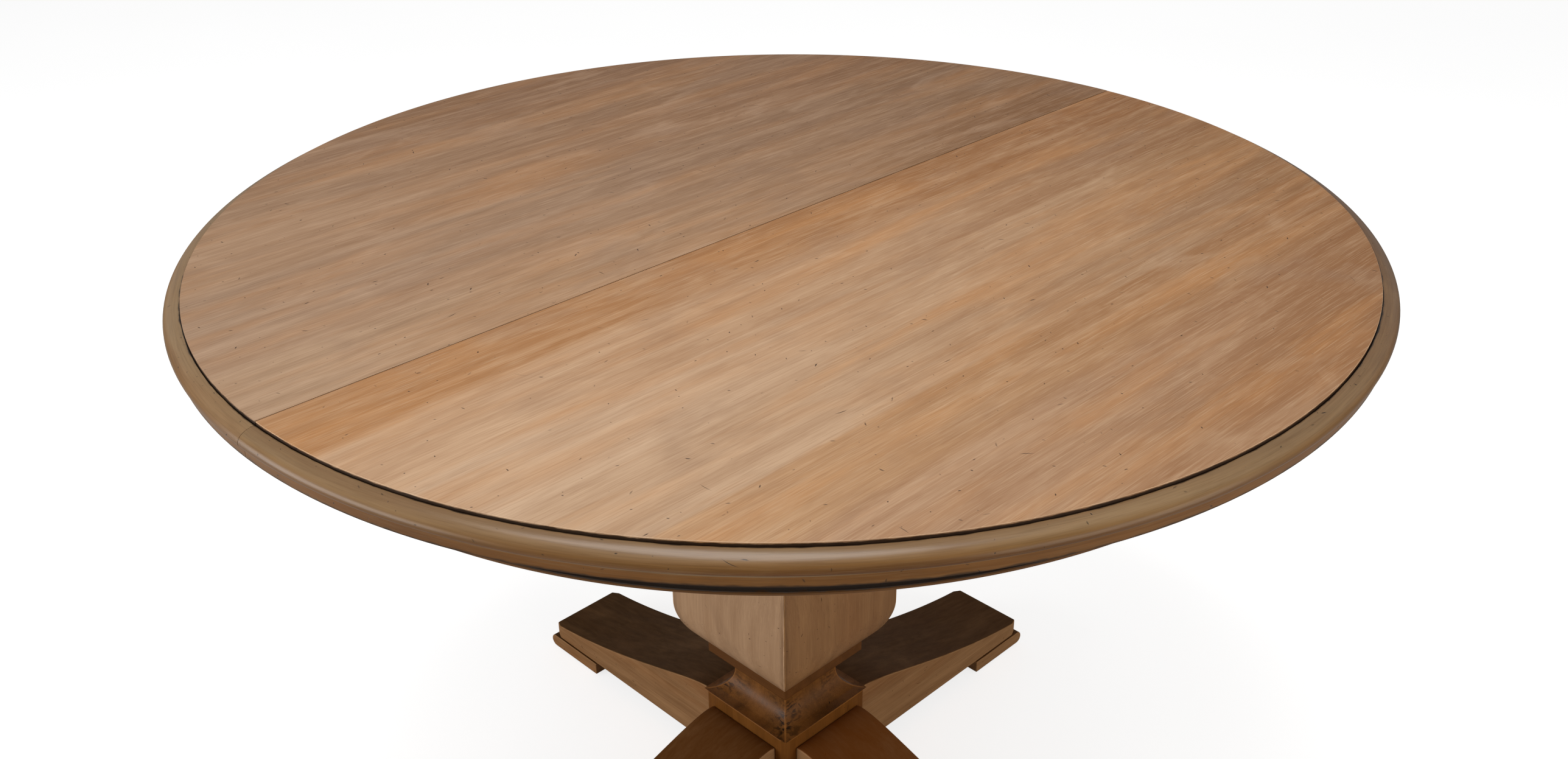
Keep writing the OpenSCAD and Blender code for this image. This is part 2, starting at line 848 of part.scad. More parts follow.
// Shoulder screw with a flange against the panel and a head under the latch
module latch_pivots() {
    shoulder = latch_t + 2 * latch_fit;
    color("silver") for (side = [-1, 1])
        translate([latch_throw / 2, side * latch_y, latch_z - latch_fit - pivot_head_t]) union() {
            cylinder(r = pivot_head_r, h = pivot_head_t);
            cylinder(r = pivot_r, h = pivot_head_t + shoulder);
            translate([0, 0, pivot_head_t + shoulder])
                cylinder(r = pivot_flange_r, h = panel_z - latch_z - latch_t - latch_fit);
            cylinder(r = screw_r, h = panel_z - latch_z + latch_fit + pivot_head_t + screw_bite - past);
        }
}

// Latch arm along +X about its pivot, with a slot that a keeper enters from the -Y side
module latch_arm() {
    difference() {
        union() {
            cylinder(r = latch_boss_r, h = latch_t);
            translate([0, -latch_w / 2, 0]) cube([latch_len, latch_w, latch_t]);
            translate([-latch_tail, -latch_tail_r, 0]) cube([latch_tail, 2 * latch_tail_r, latch_t]);
            translate([-latch_tail, 0, 0]) cylinder(r = latch_tail_r, h = latch_t);
        }
        translate([0, 0, -past]) cylinder(r = pivot_r + running_fit, h = latch_t + 2 * past);
        translate([latch_throw, 0, -past]) cylinder(r = keeper_r + keeper_fit, h = latch_t + 2 * past);
        intersection() {
            difference() {
                translate([0, 0, -past])
                    cylinder(r = latch_throw + keeper_r + keeper_fit, h = latch_t + 2 * past);
                translate([0, 0, -2 * past])
                    cylinder(r = latch_throw - keeper_r - keeper_fit, h = latch_t + 4 * past);
            }
            translate([0, -latch_w, -past]) cube([latch_len + past, latch_w, latch_t + 2 * past]);
        }
    }
}

module latch_back() {
    color("gray") translate([latch_throw / 2, latch_y, latch_z]) rotate([0, 0, -90]) latch_arm();
}

module latch_front() mirror([0, 1, 0]) latch_back();

// Studs on the left half that the latch arms hook round
module latch_keepers() {
    plate_l = 30;
    plate_w = 18;
    plate_h = 1.5;
    head_r = 5;
    head_h = 3;
    head_z = latch_z - keeper_fit - head_h;
    color("gray") for (side = [-1, 1]) translate([-latch_throw / 2, side * latch_y, 0]) union() {
        translate([-plate_w / 2, -plate_l / 2, panel_z - plate_h]) cube([plate_w, plate_l, plate_h]);
        translate([0, 0, head_z]) cylinder(r = head_r, h = head_h);
        translate([0, 0, head_z]) cylinder(r = keeper_r, h = panel_z - head_z);
        translate([0, 0, panel_z - plate_h]) cylinder(r = screw_r, h = plate_h + screw_bite - past);
    }
}

glides();
foot_pad_right();
foot_pad_back();
foot_pad_left();
foot_pad_front();
leg_right();
leg_back();
leg_left();
leg_front();
leg_dowels();
leg_bolts();
leg_bolt_washers();
leg_bolt_nuts();
base_plate();
base_plate_screws();
plinth();
scotia_block();
neck_collar();
column_plugs();
column_stave_right();
column_stave_back();
column_stave_left();
column_stave_front();
neck_ring();
capital();
tie_rod();
tie_rod_washers();
tie_rod_nuts();
mounting_plate();
mounting_screws();
center_rail_front();
center_rail_back();
rail_screws();
pinion_axles();
pinion_front();
pinion_back();
right_panel();
right_rim();
right_apron();
right_bead();
right_runners();
right_racks();
right_battens();
right_blocks();
right_screws();
alignment_pins();
latch_pivots();
latch_front();
latch_back();
left_panel();
left_rim();
left_apron();
left_bead();
left_runners();
left_racks();
left_battens();
left_blocks();
left_screws();
latch_keepers();
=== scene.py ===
import math

import bmesh
import bpy
import numpy as np
from mathutils import Matrix, Vector


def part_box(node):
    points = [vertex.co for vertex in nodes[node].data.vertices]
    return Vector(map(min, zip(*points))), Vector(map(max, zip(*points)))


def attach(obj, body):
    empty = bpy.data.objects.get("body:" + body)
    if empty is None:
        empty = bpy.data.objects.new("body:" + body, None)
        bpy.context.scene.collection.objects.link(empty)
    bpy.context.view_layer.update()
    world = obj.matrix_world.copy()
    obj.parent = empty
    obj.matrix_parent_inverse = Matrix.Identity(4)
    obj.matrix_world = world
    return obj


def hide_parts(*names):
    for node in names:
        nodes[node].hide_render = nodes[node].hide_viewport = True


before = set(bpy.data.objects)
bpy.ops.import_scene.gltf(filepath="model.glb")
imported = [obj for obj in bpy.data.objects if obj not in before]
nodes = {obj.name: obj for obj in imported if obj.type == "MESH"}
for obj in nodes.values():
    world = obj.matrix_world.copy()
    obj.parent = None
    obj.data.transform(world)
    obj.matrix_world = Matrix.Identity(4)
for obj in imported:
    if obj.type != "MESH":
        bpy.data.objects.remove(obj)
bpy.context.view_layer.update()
scene = bpy.context.scene

# Round dining table in light brown maple. The frame's bodies carry the pieces: the pedestal
# stands still, and each half of the top slides out along X with its own rim, apron and bead.
# Metres throughout. The seam of the top runs along Y.

MM = 0.001
TURNS = {"right": 0, "back": 90, "left": 180, "front": 270}
SIDES = {"right": 1, "left": -1}

# Sizes read from the frame
panel_low, panel_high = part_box("right_panel")
rim_low, rim_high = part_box("right_rim")
apron_low, apron_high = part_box("right_apron")
bead_low, bead_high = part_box("right_bead")
TOP_Z = panel_high.z
PANEL_Z = panel_low.z
FIELD_R = panel_high.y
TOP_R = rim_high.y
EDGE_Z = rim_low.z
APRON_R = apron_high.y
APRON_Z = apron_low.z
BEAD_R = bead_high.y
BEAD_Z = bead_low.z
SEAM = panel_low.x
plinth_low, plinth_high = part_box("plinth")
collar_low, collar_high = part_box("neck_collar")
stave_low, stave_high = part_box("column_stave_right")
ring_low, ring_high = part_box("neck_ring")
capital_low, capital_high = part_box("capital")
scotia_low, scotia_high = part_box("scotia_block")
leg_low, leg_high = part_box("leg_right")
pad_low, pad_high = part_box("foot_pad_right")

# Sizes of the moulded edge, as in the frame
RIM_STEP = 3.5 * MM
NOSE_REACH = 16.5 * MM
NOSE_RISE = 11 * MM
NOSE_Z = TOP_Z - RIM_STEP - NOSE_RISE
UNDER_REACH = 6.5 * MM
UNDER_DROP = 4.5 * MM
FASCIA_SET = 4.5 * MM
FLANGE_R = FIELD_R - 32 * MM
APRON_T = 18 * MM
QUIRK_W = 1.5 * MM
QUIRK_D = 2 * MM


# ---- Node trees: one short call for each node ----

def linear(red, green, blue):
    """A colour given as 0 to 255 in the usual display scale, as linear values."""
    def one(value):
        share = value / 255
        return share / 12.92 if share <= 0.04045 else ((share + 0.055) / 1.055) ** 2.4
    return one(red), one(green), one(blue), 1.0


def scaled(colour, gain):
    """A linear colour made lighter or darker."""
    return tuple(min(1.0, value * gain) for value in colour[:3]) + (1.0,)


def put_node(tree, kind, output, links=None, **settings):
    """Adds a node, fills its sockets from links or plain values, and gives back one output."""
    node = tree.nodes.new(kind)
    for key, value in settings.items():
        setattr(node, key, value)
    for key, value in (links or {}).items():
        feed(tree, node.inputs[key], value)
    return node.outputs[output]


def feed(tree, socket, value):
    if isinstance(value, bpy.types.NodeSocket):
        tree.links.new(value, socket)
    else:
        socket.default_value = value


class Finish:
    """A material, its shader, and short calls that add the nodes of its pattern."""

    def __init__(self, name, **constants):
        self.material = bpy.data.materials.new(name)
        self.material.use_nodes = True
        self.tree = self.material.node_tree
        self.shader = self.tree.nodes["Principled BSDF"]
        for label, value in constants.items():
            self.shader.inputs[label.replace("_", " ")].default_value = value
        self.here = self.put("ShaderNodeTexCoord", "Object")

    def put(self, kind, output, links=None, **settings):
        return put_node(self.tree, kind, output, links, **settings)

    def math(self, operation, first, second=0.0, third=0.0):
        return self.put("ShaderNodeMath", 0, {0: first, 1: second, 2: third},
                        operation=operation)

    def vector(self, operation, first, second=(0.0, 0.0, 0.0), output="Vector"):
        return self.put("ShaderNodeVectorMath", output, {0: first, 1: second},
                        operation=operation)

    def split(self, vector):
        node = self.put("ShaderNodeSeparateXYZ", "X", {"Vector": vector}).node
        return node.outputs["X"], node.outputs["Y"], node.outputs["Z"]

    def join(self, first, second, third):
        return self.put("ShaderNodeCombineXYZ", "Vector", {"X": first, "Y": second, "Z": third})

    def noise(self, vector, stretch, detail=2.0, roughness=0.5, distortion=0.0, seed=0.0):
        """Noise from 0 to 1. stretch is how many features a metre has each way."""
        place = self.vector("MULTIPLY_ADD", vector, stretch)
        place.node.inputs[2].default_value = (seed, seed * 1.7, seed * 2.3)
        return self.put("ShaderNodeTexNoise", "Fac", {
            "Vector": place, "Scale": 1.0, "Detail": detail, "Roughness": roughness,
            "Distortion": distortion})

    def span(self, value, low, high, out_low=0.0, out_high=1.0):
        """Value carried from low..high to out_low..out_high, and held at both ends."""
        return self.put("ShaderNodeMapRange", "Result", {
            "Value": value, "From Min": low, "From Max": high,
            "To Min": out_low, "To Max": out_high})

    def ramp(self, value, stops):
        """Colour ramp with (place, colour) stops."""
        output = self.put("ShaderNodeValToRGB", "Color", {"Fac": value})
        elements = output.node.color_ramp.elements
        while len(elements) < len(stops):
            elements.new(1.0)
        for element, (place, colour) in zip(elements, stops):
            element.position = place
            element.color = colour
        return output

    def mix(self, share, first, second):
        """Mixes two colours. share is 0 for the first and 1 for the second."""
        return self.put("ShaderNodeMix", 2, {0: share, 6: first, 7: second}, data_type="RGBA")

    def over(self, tone, colour, amount, value, *reach):
        """Lays a colour over a tone where value passes through the reach of a span."""
        return self.mix(self.math("MULTIPLY", self.span(value, *reach), amount), tone, colour)

    def bump(self, height, strength, depth):
        return self.put("ShaderNodeBump", "Normal", {
            "Height": height, "Strength": strength, "Distance": depth})

    def parts(self, colour):
        """Red, green and blue of a colour, as three values."""
        node = self.put("ShaderNodeSeparateColor", 0, {0: colour}).node
        return node.outputs[0], node.outputs[1], node.outputs[2]

    def upward(self):
        """How far the surface looks up: 1 on a top face, 0 on a side and -1 underneath."""
        return self.split(self.put("ShaderNodeNewGeometry", "Normal"))[2]

    def finish(self, colour, roughness=None, normal=None):
        for label, value in (("Base Color", colour), ("Roughness", roughness), ("Normal", normal)):
            if value is not None:
                feed(self.tree, self.shader.inputs[label], value)
        return self.material


# ---- Wood ----

def grain_place(f, way):
    """Place in the wood as (along the grain, across it, through it)."""
    x, y, z = f.split(f.here)
    if way in ("ring_right", "ring_left"):
        sign = 1 if way == "ring_right" else -1
        turn = f.math("ARCTAN2", f.math("MULTIPLY", y, sign), f.math("MULTIPLY", x, sign))
        radius = f.vector("LENGTH", f.join(x, y, 0.0), output="Value")
        return f.join(f.math("MULTIPLY", turn, TOP_R), radius, z)
    return f.join(*{"x": (x, y, z), "y": (y, x, z), "z": (z, x, y)}[way])


def face_place(f, g, way):
    """Place on the surface as (along the grain, round or across the piece)."""
    along, across, through = f.split(g)
    round_piece = way in ("ring_right", "ring_left")
    return f.join(along, f.math("SUBTRACT" if round_piece else "ADD", across, through), 0.0)


def dashes(f, place, per_metre, length, width, share, seed):
    """Short dark nicks: one in some cells, each at its own slant and slightly curved.
    place has the surface's two directions first. per_metre is how many cells a metre has."""
    shortest, bend = 0.15, 0.16
    cell_place = f.vector("MULTIPLY_ADD", place, (per_metre, per_metre, per_metre))
    cell_place.node.inputs[2].default_value = (seed, seed * 0.7, seed * 1.3)
    cell = f.put("ShaderNodeTexVoronoi", "Position", {"Vector": cell_place, "Scale": 1.0},
                 voronoi_dimensions="2D").node
    red, green, blue = f.parts(cell.outputs["Color"])
    inner = f.vector("SUBTRACT", cell_place, cell.outputs["Position"])
    turned = f.put("ShaderNodeVectorRotate", "Vector", {
        "Vector": inner, "Angle": f.math("MULTIPLY", red, 2 * math.pi)}, rotation_type="Z_AXIS")
    u, v, _ = f.split(turned)
    half_length = length * per_metre / 2
    bow = f.math("MULTIPLY", f.math("MULTIPLY", u, u), bend / half_length)
    off_line = f.math("ABSOLUTE", f.math("ADD", v, bow))
    reach = f.math("MULTIPLY", f.span(blue, 0.0, 1.0, shortest, 1.0), half_length)
    ends = f.span(f.math("DIVIDE", f.math("ABSOLUTE", u), reach), 0.3, 1.0, 1.0, 0.0)
    thick = f.math("MULTIPLY", ends, 0.5 * width * per_metre)
    narrow = f.span(f.math("DIVIDE", off_line, f.math("ADD", thick, 0.0001)), 0.5, 1.0, 1.0, 0.0)
    chosen = f.math("LESS_THAN", green, share)
    return f.math("MULTIPLY", f.math("MULTIPLY", narrow, ends), chosen)


def specks(f, place, per_metre, size, share, seed):
    """Round dark specks, one in some cells."""
    cell_place = f.vector("MULTIPLY_ADD", place, (per_metre, per_metre, per_metre))
    cell_place.node.inputs[2].default_value = (seed, seed * 1.9, seed * 0.6)
    cell = f.put("ShaderNodeTexVoronoi", "Distance", {"Vector": cell_place, "Scale": 1.0}).node
    red, green, _ = f.parts(cell.outputs["Color"])
    radius = f.math("MULTIPLY", green, size * per_metre)
    edge = f.math("DIVIDE", cell.outputs["Distance"], radius)
    spot = f.span(edge, 0.6, 1.0, 1.0, 0.0)
    return f.math("MULTIPLY", spot, f.math("LESS_THAN", red, share))


def wood(name, way, light, dark, gloss=0.42, base=None, warm=None, blotch=0.35, streak=0.17,
         fibre=0.30, marks=1.0, glaze_and_shade=None, seed=0.0, stain_and_shade=(62, 38, 20), coat=0.0,
         specular=0.2, calm=0.3, smudge=None, rub=None):
    """Stained and rubbed wood: streaks and soft blotches along the grain, fine fibres, specks
    and nicks, a dark overlay where its mask says it gathers, and pale rubbed arrises. That
    overlay is brush marks on the scotia and browning on the column, and painted shade on the
    field, rim, bead, plinth and legs. light and dark are the two ends of the wood's tone, unless
    base gives the tone; calm is how slowly one turns into the other. warm and smudge tint its
    blotches and clouds. One dark colour is given for the marks and the overlay, so where the
    overlay is painted shade it is the colour of that shade. blotch, streak, fibre and marks are
    amounts."""
    f = Finish(name, Coat_Weight=coat, Coat_Roughness=0.25, Specular_IOR_Level=specular)
    g = grain_place(f, way)
    streaks = f.noise(g, (2.4, 66, 66), 4, 0.62, 0.2, seed + 3)
    broad = f.noise(g, (2.0, 18, 18), 4, 0.6, 0.3, seed + 11)
    mottle = f.noise(g, (9, 26, 26), 3, 0.6, 0.6, seed + 19)
    mottle_depth, cloud_depth, pale_gain = 0.22, 0.4, 1.35
    light, dark = linear(*light), linear(*dark)
    if base is None:
        tone = f.mix(f.span(streaks, 0.5 - calm, 0.5 + calm), dark, light)
    else:
        tone = base(f, g)
        tone = f.over(tone, dark, streak, streaks, 0.40, 0.58, 1, 0)
        tone = f.over(tone, light, streak, streaks, 0.48, 0.66)
    if warm is not None:
        tone = f.over(tone, linear(*warm), blotch, broad, 0.47, 0.66)
    if smudge is not None:
        cloud = f.noise(g, (6, 11, 11), 3, 0.6, 0.8, seed + 29)
        tone = f.mix(f.span(cloud, 0.52, 0.72, 0.0, cloud_depth), tone, linear(*smudge))
    tone = f.over(tone, dark, mottle_depth, mottle, 0.5, 0.75)
    tone = f.over(tone, light, mottle_depth, mottle, 0.25, 0.45, 1, 0)
    fibres = f.noise(g, (16, 620, 620), 3, 0.74, 0.0, seed + 5)
    tone = f.over(tone, dark, fibre, fibres, 0.46, 0.68)
    pale = f.noise(g, (24, 950, 950), 2, 0.7, 0.0, seed + 8)
    tone = f.over(tone, light, fibre, pale, 0.50, 0.70)
    height = f.math("MULTIPLY", fibres, 0.3)
    if marks > 0:
        face = face_place(f, g, way)
        nicks = dashes(f, face, 8, 20 * MM, 1.0 * MM, 0.5 * marks, seed + 2)
        ticks = dashes(f, face, 21, 9 * MM, 1.5 * MM, 0.5 * marks, seed + 7)
        bits = dashes(f, face, 38, 5 * MM, 1.3 * MM, 0.36 * marks, seed + 12)
        spots = specks(f, g, 34, 1.0 * MM, 0.2 * marks, seed + 4)
        dent = f.math("MAXIMUM", f.math("MAXIMUM", nicks, ticks), f.math("MAXIMUM", bits, spots))
        faint = f.span(f.noise(g, (25, 25, 25), 2, 0.5, 0.0, seed + 14), 0.38, 0.6, 0.25, 0.9)
        tone = f.mix(f.math("MULTIPLY", dent, faint), tone, linear(*stain_and_shade))
        height = f.math("SUBTRACT", height, dent)
    if glaze_and_shade is not None:
        tone = f.mix(glaze_and_shade(f, g), tone, linear(*stain_and_shade))
    if rub is not None:
        rubbed = f.span(f.noise(g, (30, 30, 30), 3, 0.6, 0.0, seed + 31), 0.35, 0.6, 0.3, 1.0)
        share = f.math("MULTIPLY", rub(f, g), rubbed)
        tone = f.mix(share, tone, scaled(light, pale_gain))
    rough = f.span(streaks, 0.3, 0.7, gloss - 0.05, gloss + 0.07)
    return f.finish(tone, rough, f.bump(height, 0.35, 0.4 * MM))


# Each half of the top is glued up from boards that run along the seam. For each board, from the
# seam out: where it starts, its tone at the near end, and its tone at the far end. These tones
# are partly the boards' own and partly painted light: the near ends, toward the front, are painted
# lighter than the far ends, and the tones fall off toward the outer edge as painted shade.
RIGHT_BOARDS = [
    (0.000, (182, 131, 85), (149, 100, 57)),
    (0.082, (202, 163, 128), (149, 104, 64)),
    (0.172, (210, 176, 144), (158, 113, 71)),
    (0.262, (204, 169, 136), (152, 108, 68)),
    (0.352, (200, 157, 116), (149, 100, 57)),
    (0.430, (192, 153, 120), (147, 97, 53)),
    (0.520, (182, 139, 103), (141, 93, 52)),
]
LEFT_BOARDS = [
    (0.000, (184, 150, 119), (131, 89, 51)),
    (0.092, (180, 146, 117), (132, 94, 60)),
    (0.170, (171, 139, 112), (127, 90, 58)),
    (0.255, (173, 137, 106), (131, 90, 56)),
    (0.375, (164, 130, 101), (129, 89, 55)),
    (0.470, (158, 123, 94), (125, 85, 53)),
    (0.540, (151, 114, 81), (123, 81, 48)),
]


def boards(layout, sign):
    """Base tone of one half of the top: each board has a tone at its near and far end, and the
    lighter near end is painted light.
    sign is 1 on the right half and -1 on the left. Every second joint is a soft one."""
    drift, soft_joint, sharp_joint = 3 * MM, 0.016, 0.003

    def tone(f, g):
        along, across, _ = f.split(g)
        wander = f.noise(g, (1.5, 1.5, 1.5), 1, 0.5, 0.0, 21)
        out = f.math("MULTIPLY_ADD", across, sign, f.span(wander, 0.3, 0.7, -drift, drift))
        share = f.math("DIVIDE", out, FIELD_R)
        colours = []
        for end in (1, 2):
            stops = []
            for index, board in enumerate(layout):
                place = board[0] / FIELD_R
                blur = soft_joint if index % 2 else sharp_joint
                if index:
                    stops.append((place - blur, linear(*layout[index - 1][end])))
                    stops.append((place + blur, linear(*board[end])))
                else:
                    stops.append((0.0, linear(*board[end])))
            colours.append(f.ramp(share, stops))
        # Painted light: each board turns from its lighter near tone to its darker far tone toward
        # the back.
        far = f.span(f.math("MULTIPLY_ADD", f.noise(g, (2, 6, 6), 2, 0.5, 0.3, 31), 0.5, along),
                     -0.25, 0.75)
        return f.mix(far, colours[0], colours[1])
    return tone


def field_edge_painted_shade(f, g):
    """Painted shade below the field's upper arris: on the step round it, in the seam and beneath.
    """
    _, _, up = f.split(g)
    ragged = f.noise(g, (70, 70, 70), 2, 0.6, 0.0, 13)
    level = f.math("ADD", up, f.span(ragged, 0.3, 0.7, -0.4 * MM, 0.5 * MM))
    return f.span(level, TOP_Z - 1.5 * MM, TOP_Z - 0.8 * MM, 0.95, 0.0)


def rim_quirk_painted_shade(f, g):
    """Painted shade in the quirk beside the field, and along the lower edge of the fascia."""
    _, radius, up = f.split(g)
    ragged = f.noise(g, (45, 45, 45), 2, 0.6, 0.0, 17)
    shift = f.span(ragged, 0.3, 0.7, -0.8 * MM, 0.8 * MM)
    inner = f.span(f.math("ADD", radius, shift), FIELD_R + 0.8 * MM, FIELD_R + 2.0 * MM, 0.95, 0.0)
    level = f.math("ADD", up, shift)
    low = f.span(level, EDGE_Z + 0.4 * MM, EDGE_Z + 2.0 * MM, 0.8, 0.0)
    return f.math("MAXIMUM", inner, low)


def rim_tone_with_painted_light(f, g):
    """Tone of the moulded edge, from the golden fascia up over a brown nose to its pale top.
    Painted
    light is in it: a pale grey line on the small round under the nose is a painted highlight, the
    darker lower nose where it turns under is painted shade, and the pale top is a painted
    highlight. It is painted darker and warmer toward the back of the table, as painted shade."""
    _, _, up = f.split(g)
    drift = f.noise(g, (3, 40, 40), 2, 0.5, 0.0, 23)
    level = f.math("ADD", up, f.span(drift, 0.3, 0.7, -1.5 * MM, 1.5 * MM))
    share = f.span(level, NOSE_Z - 12 * MM, NOSE_Z + 12 * MM)
    # Painted light in the ramp: the pale grey stop is a painted highlight under the nose, the dark
    # stop just above it painted shade, and the pale stops at the top a painted highlight on the
    # nose.
    tone = f.ramp(share, [
        (0.00, linear(138, 88, 32)), (0.25, linear(144, 94, 38)), (0.29, linear(152, 132, 108)),
        (0.36, linear(104, 64, 28)), (0.50, linear(118, 76, 34)), (0.68, linear(142, 104, 58)),
        (0.84, linear(156, 128, 94)), (1.00, linear(142, 116, 84))])
    # Painted shade: darker and warmer toward the back of the table.
    _, y, _ = f.split(f.here)
    return f.mix(f.span(y, -0.1, 0.4, 0.0, 0.72), tone, linear(98, 58, 26))


def bead_painted_shade(f, g):
    """The cove over the bead is painted a dark grey shade, as it lies under the fascia's overhang,
    and its lip gets only a little of it.
    """
    _, _, up = f.split(g)
    patchy = f.noise(g, (35, 160, 160), 3, 0.7, 0.2, 27)
    level = f.math("ADD", up, f.span(patchy, 0.3, 0.7, -0.5 * MM, 0.5 * MM))
    return f.span(level, BEAD_Z + 2.8 * MM, BEAD_Z + 3.4 * MM, 0.1, 0.94)


def worn_arris(amount):
    """Share of rubbed wood where a rounded arris turns from a side to a top face."""
    def share(f, g):
        up = f.upward()
        band = f.math("MULTIPLY", f.span(up, 0.15, 0.4), f.span(up, 0.75, 0.9, 1.0, 0.0))
        return f.math("MULTIPLY", band, amount)
    return share


def corner_gap(f, g):
    """Distance from an upright corner of a square post, measured across its face."""
    _, x, y = f.split(g)
    return f.math("ABSOLUTE", f.math("SUBTRACT", f.math("ABSOLUTE", x), f.math("ABSOLUTE", y)))


def worn_corner(f, g):
    """Share of rubbed wood on the upright corners of a square post."""
    return f.span(corner_gap(f, g), 0.6 * MM, 2.2 * MM, 0.85, 0.0)


def corner_glaze(width, depth, low, high, ends):
    """Browned band along the upright corners of a square post, and at its two ends."""
    foot_band, head_band, ragged = 30 * MM, 20 * MM, 8 * MM

    def share(f, g):
        up, _, _ = f.split(g)
        gap = corner_gap(f, g)
        uneven = f.noise(g, (9, 60, 60), 3, 0.6, 0.0, 37)
        gap = f.math("ADD", gap, f.span(uneven, 0.3, 0.7, -width * 0.5, width * 0.5))
        corners = f.span(gap, 0.0, width, depth, 0.0)
        foot = f.span(f.math("ADD", up, f.span(uneven, 0.3, 0.7, -ragged, ragged)),
                      low, low + foot_band, ends, 0.0)
        head = f.span(up, high - head_band, high, 0.0, ends)
        return f.math("MAXIMUM", corners, f.math("MAXIMUM", foot, head))
    return share


def brush_marks(f, g):
    """Dark brush strokes across the grain that gather toward the scotia's corners."""
    strokes = f.noise(g, (330, 110, 110), 3, 0.6, 0.6, 43)
    patches = f.noise(g, (26, 22, 22), 2, 0.5, 0.4, 47)
    near = f.span(corner_gap(f, g), 4 * MM, 34 * MM, 1.0, 0.15)
    cover = f.math("MULTIPLY", f.span(patches, 0.40, 0.58, 0.1, 0.95), near)
    return f.math("MULTIPLY", f.span(strokes, 0.48, 0.60), cover)


def painted_shade_on_tops(share):
    """Painted shade: faces that look upwards are painted darker than the sides, which are rubbed,
    as the table above shades them.
    """
    def glaze_and_shade(f, g):
        up = f.upward()
        uneven = f.noise(g, (9, 22, 22), 3, 0.6, 0.4, 41)
        level = f.math("ADD", up, f.span(uneven, 0.3, 0.7, -0.15, 0.15))
        combed = f.noise(g, (5, 150, 150), 4, 0.65, 0.2, 45)
        held = f.math("MULTIPLY", f.span(level, 0.25, 0.95), share)
        return f.math("MULTIPLY", held, f.span(combed, 0.35, 0.65, 1.0, 0.86))
    return glaze_and_shade


# ---- Metal and plastic ----

def metal(name, tone, roughness, scale=220, spread=0.264):
    """Steel with a faint mottle and fine rubbing marks. spread is how far the mottle darkens."""
    f = Finish(name, Metallic=1.0)
    mottle = f.noise(f.here, (scale, scale, scale), 3, 0.6, 0.0, 4)
    rub = f.noise(f.here, (900, 900, 60), 2, 0.5, 0.0, 6)
    light = linear(*tone)
    colour = f.mix(f.span(mottle, 0.35, 0.65), scaled(light, 1 - spread), light)
    rough = f.math("ADD", f.span(mottle, 0.3, 0.7, roughness - 0.08, roughness + 0.08),
                   f.span(rub, 0.4, 0.7, 0.0, 0.08))
    return f.finish(colour, rough, f.bump(rub, 0.08, 0.1 * MM))


def plastic(name, tone, roughness=0.45):
    """Moulded plastic with a faint flow mottle and a fine matt skin."""
    f = Finish(name, Specular_IOR_Level=0.5)
    flow = f.noise(f.here, (40, 40, 120), 3, 0.5, 0.4, 3)
    skin = f.noise(f.here, (2500, 2500, 2500), 1, 0.5, 0.0, 9)
    light = linear(*tone)
    colour = f.mix(f.span(flow, 0.35, 0.65), scaled(light, 0.82), light)
    rough = f.span(flow, 0.3, 0.7, roughness - 0.05, roughness + 0.08)
    return f.finish(colour, rough, f.bump(skin, 0.12, 0.05 * MM))


def plywood(name):
    """Birch plywood: thin layers show on its edges, and rotary-cut grain on its faces."""
    half_layer, glue_line = 1.5 * MM, 0.25 * MM
    f = Finish(name, Specular_IOR_Level=0.3)
    x, y, z = f.split(f.here)
    glue = f.span(f.math("PINGPONG", z, half_layer), 0.0, glue_line, 1.0, 0.0)
    cross = f.math("GREATER_THAN", f.math("PINGPONG", f.math("ADD", z, half_layer),
                                          2 * half_layer), half_layer)
    side = f.math("LESS_THAN", f.math("ABSOLUTE", f.upward()), 0.5)
    figure = f.noise(f.join(x, y, z), (5, 38, 38), 4, 0.6, 1.2, 2)
    face = f.mix(f.span(figure, 0.35, 0.65), linear(186, 148, 104), linear(214, 182, 138))
    fibres = f.noise(f.join(x, y, z), (30, 700, 700), 2, 0.6, 0.0, 5)
    face = f.over(face, linear(140, 102, 66), 0.3, fibres, 0.5, 0.7)
    ply = f.mix(cross, linear(206, 172, 126), linear(166, 126, 84))
    ply = f.mix(glue, ply, linear(84, 56, 34))
    colour = f.mix(side, face, ply)
    return f.finish(colour, f.span(figure, 0.3, 0.7, 0.52, 0.64), f.bump(fibres, 0.2, 0.2 * MM))


# This colour is for the field's nicks and for the painted shade round its edge and in the seam.
FIELD_STAIN_AND_SHADE = (46, 30, 20)
field_right = wood(
    "field_right_maple", "y", (224, 190, 154), (142, 94, 54), gloss=0.40,
    base=boards(RIGHT_BOARDS, 1), warm=(204, 144, 88), blotch=0.45, glaze_and_shade=field_edge_painted_shade,
    seed=0.0, stain_and_shade=FIELD_STAIN_AND_SHADE, coat=0.04, specular=0.25, smudge=(158, 124, 98),
    rub=worn_arris(0.7))
field_left = wood(
    "field_left_maple", "y", (212, 178, 148), (122, 86, 56),
    base=boards(LEFT_BOARDS, -1), warm=(186, 132, 84), blotch=0.40, glaze_and_shade=field_edge_painted_shade,
    seed=50.0, stain_and_shade=FIELD_STAIN_AND_SHADE, coat=0.04, specular=0.25, smudge=(146, 116, 94),
    rub=worn_arris(0.7))
rims, aprons, beads = {}, {}, {}
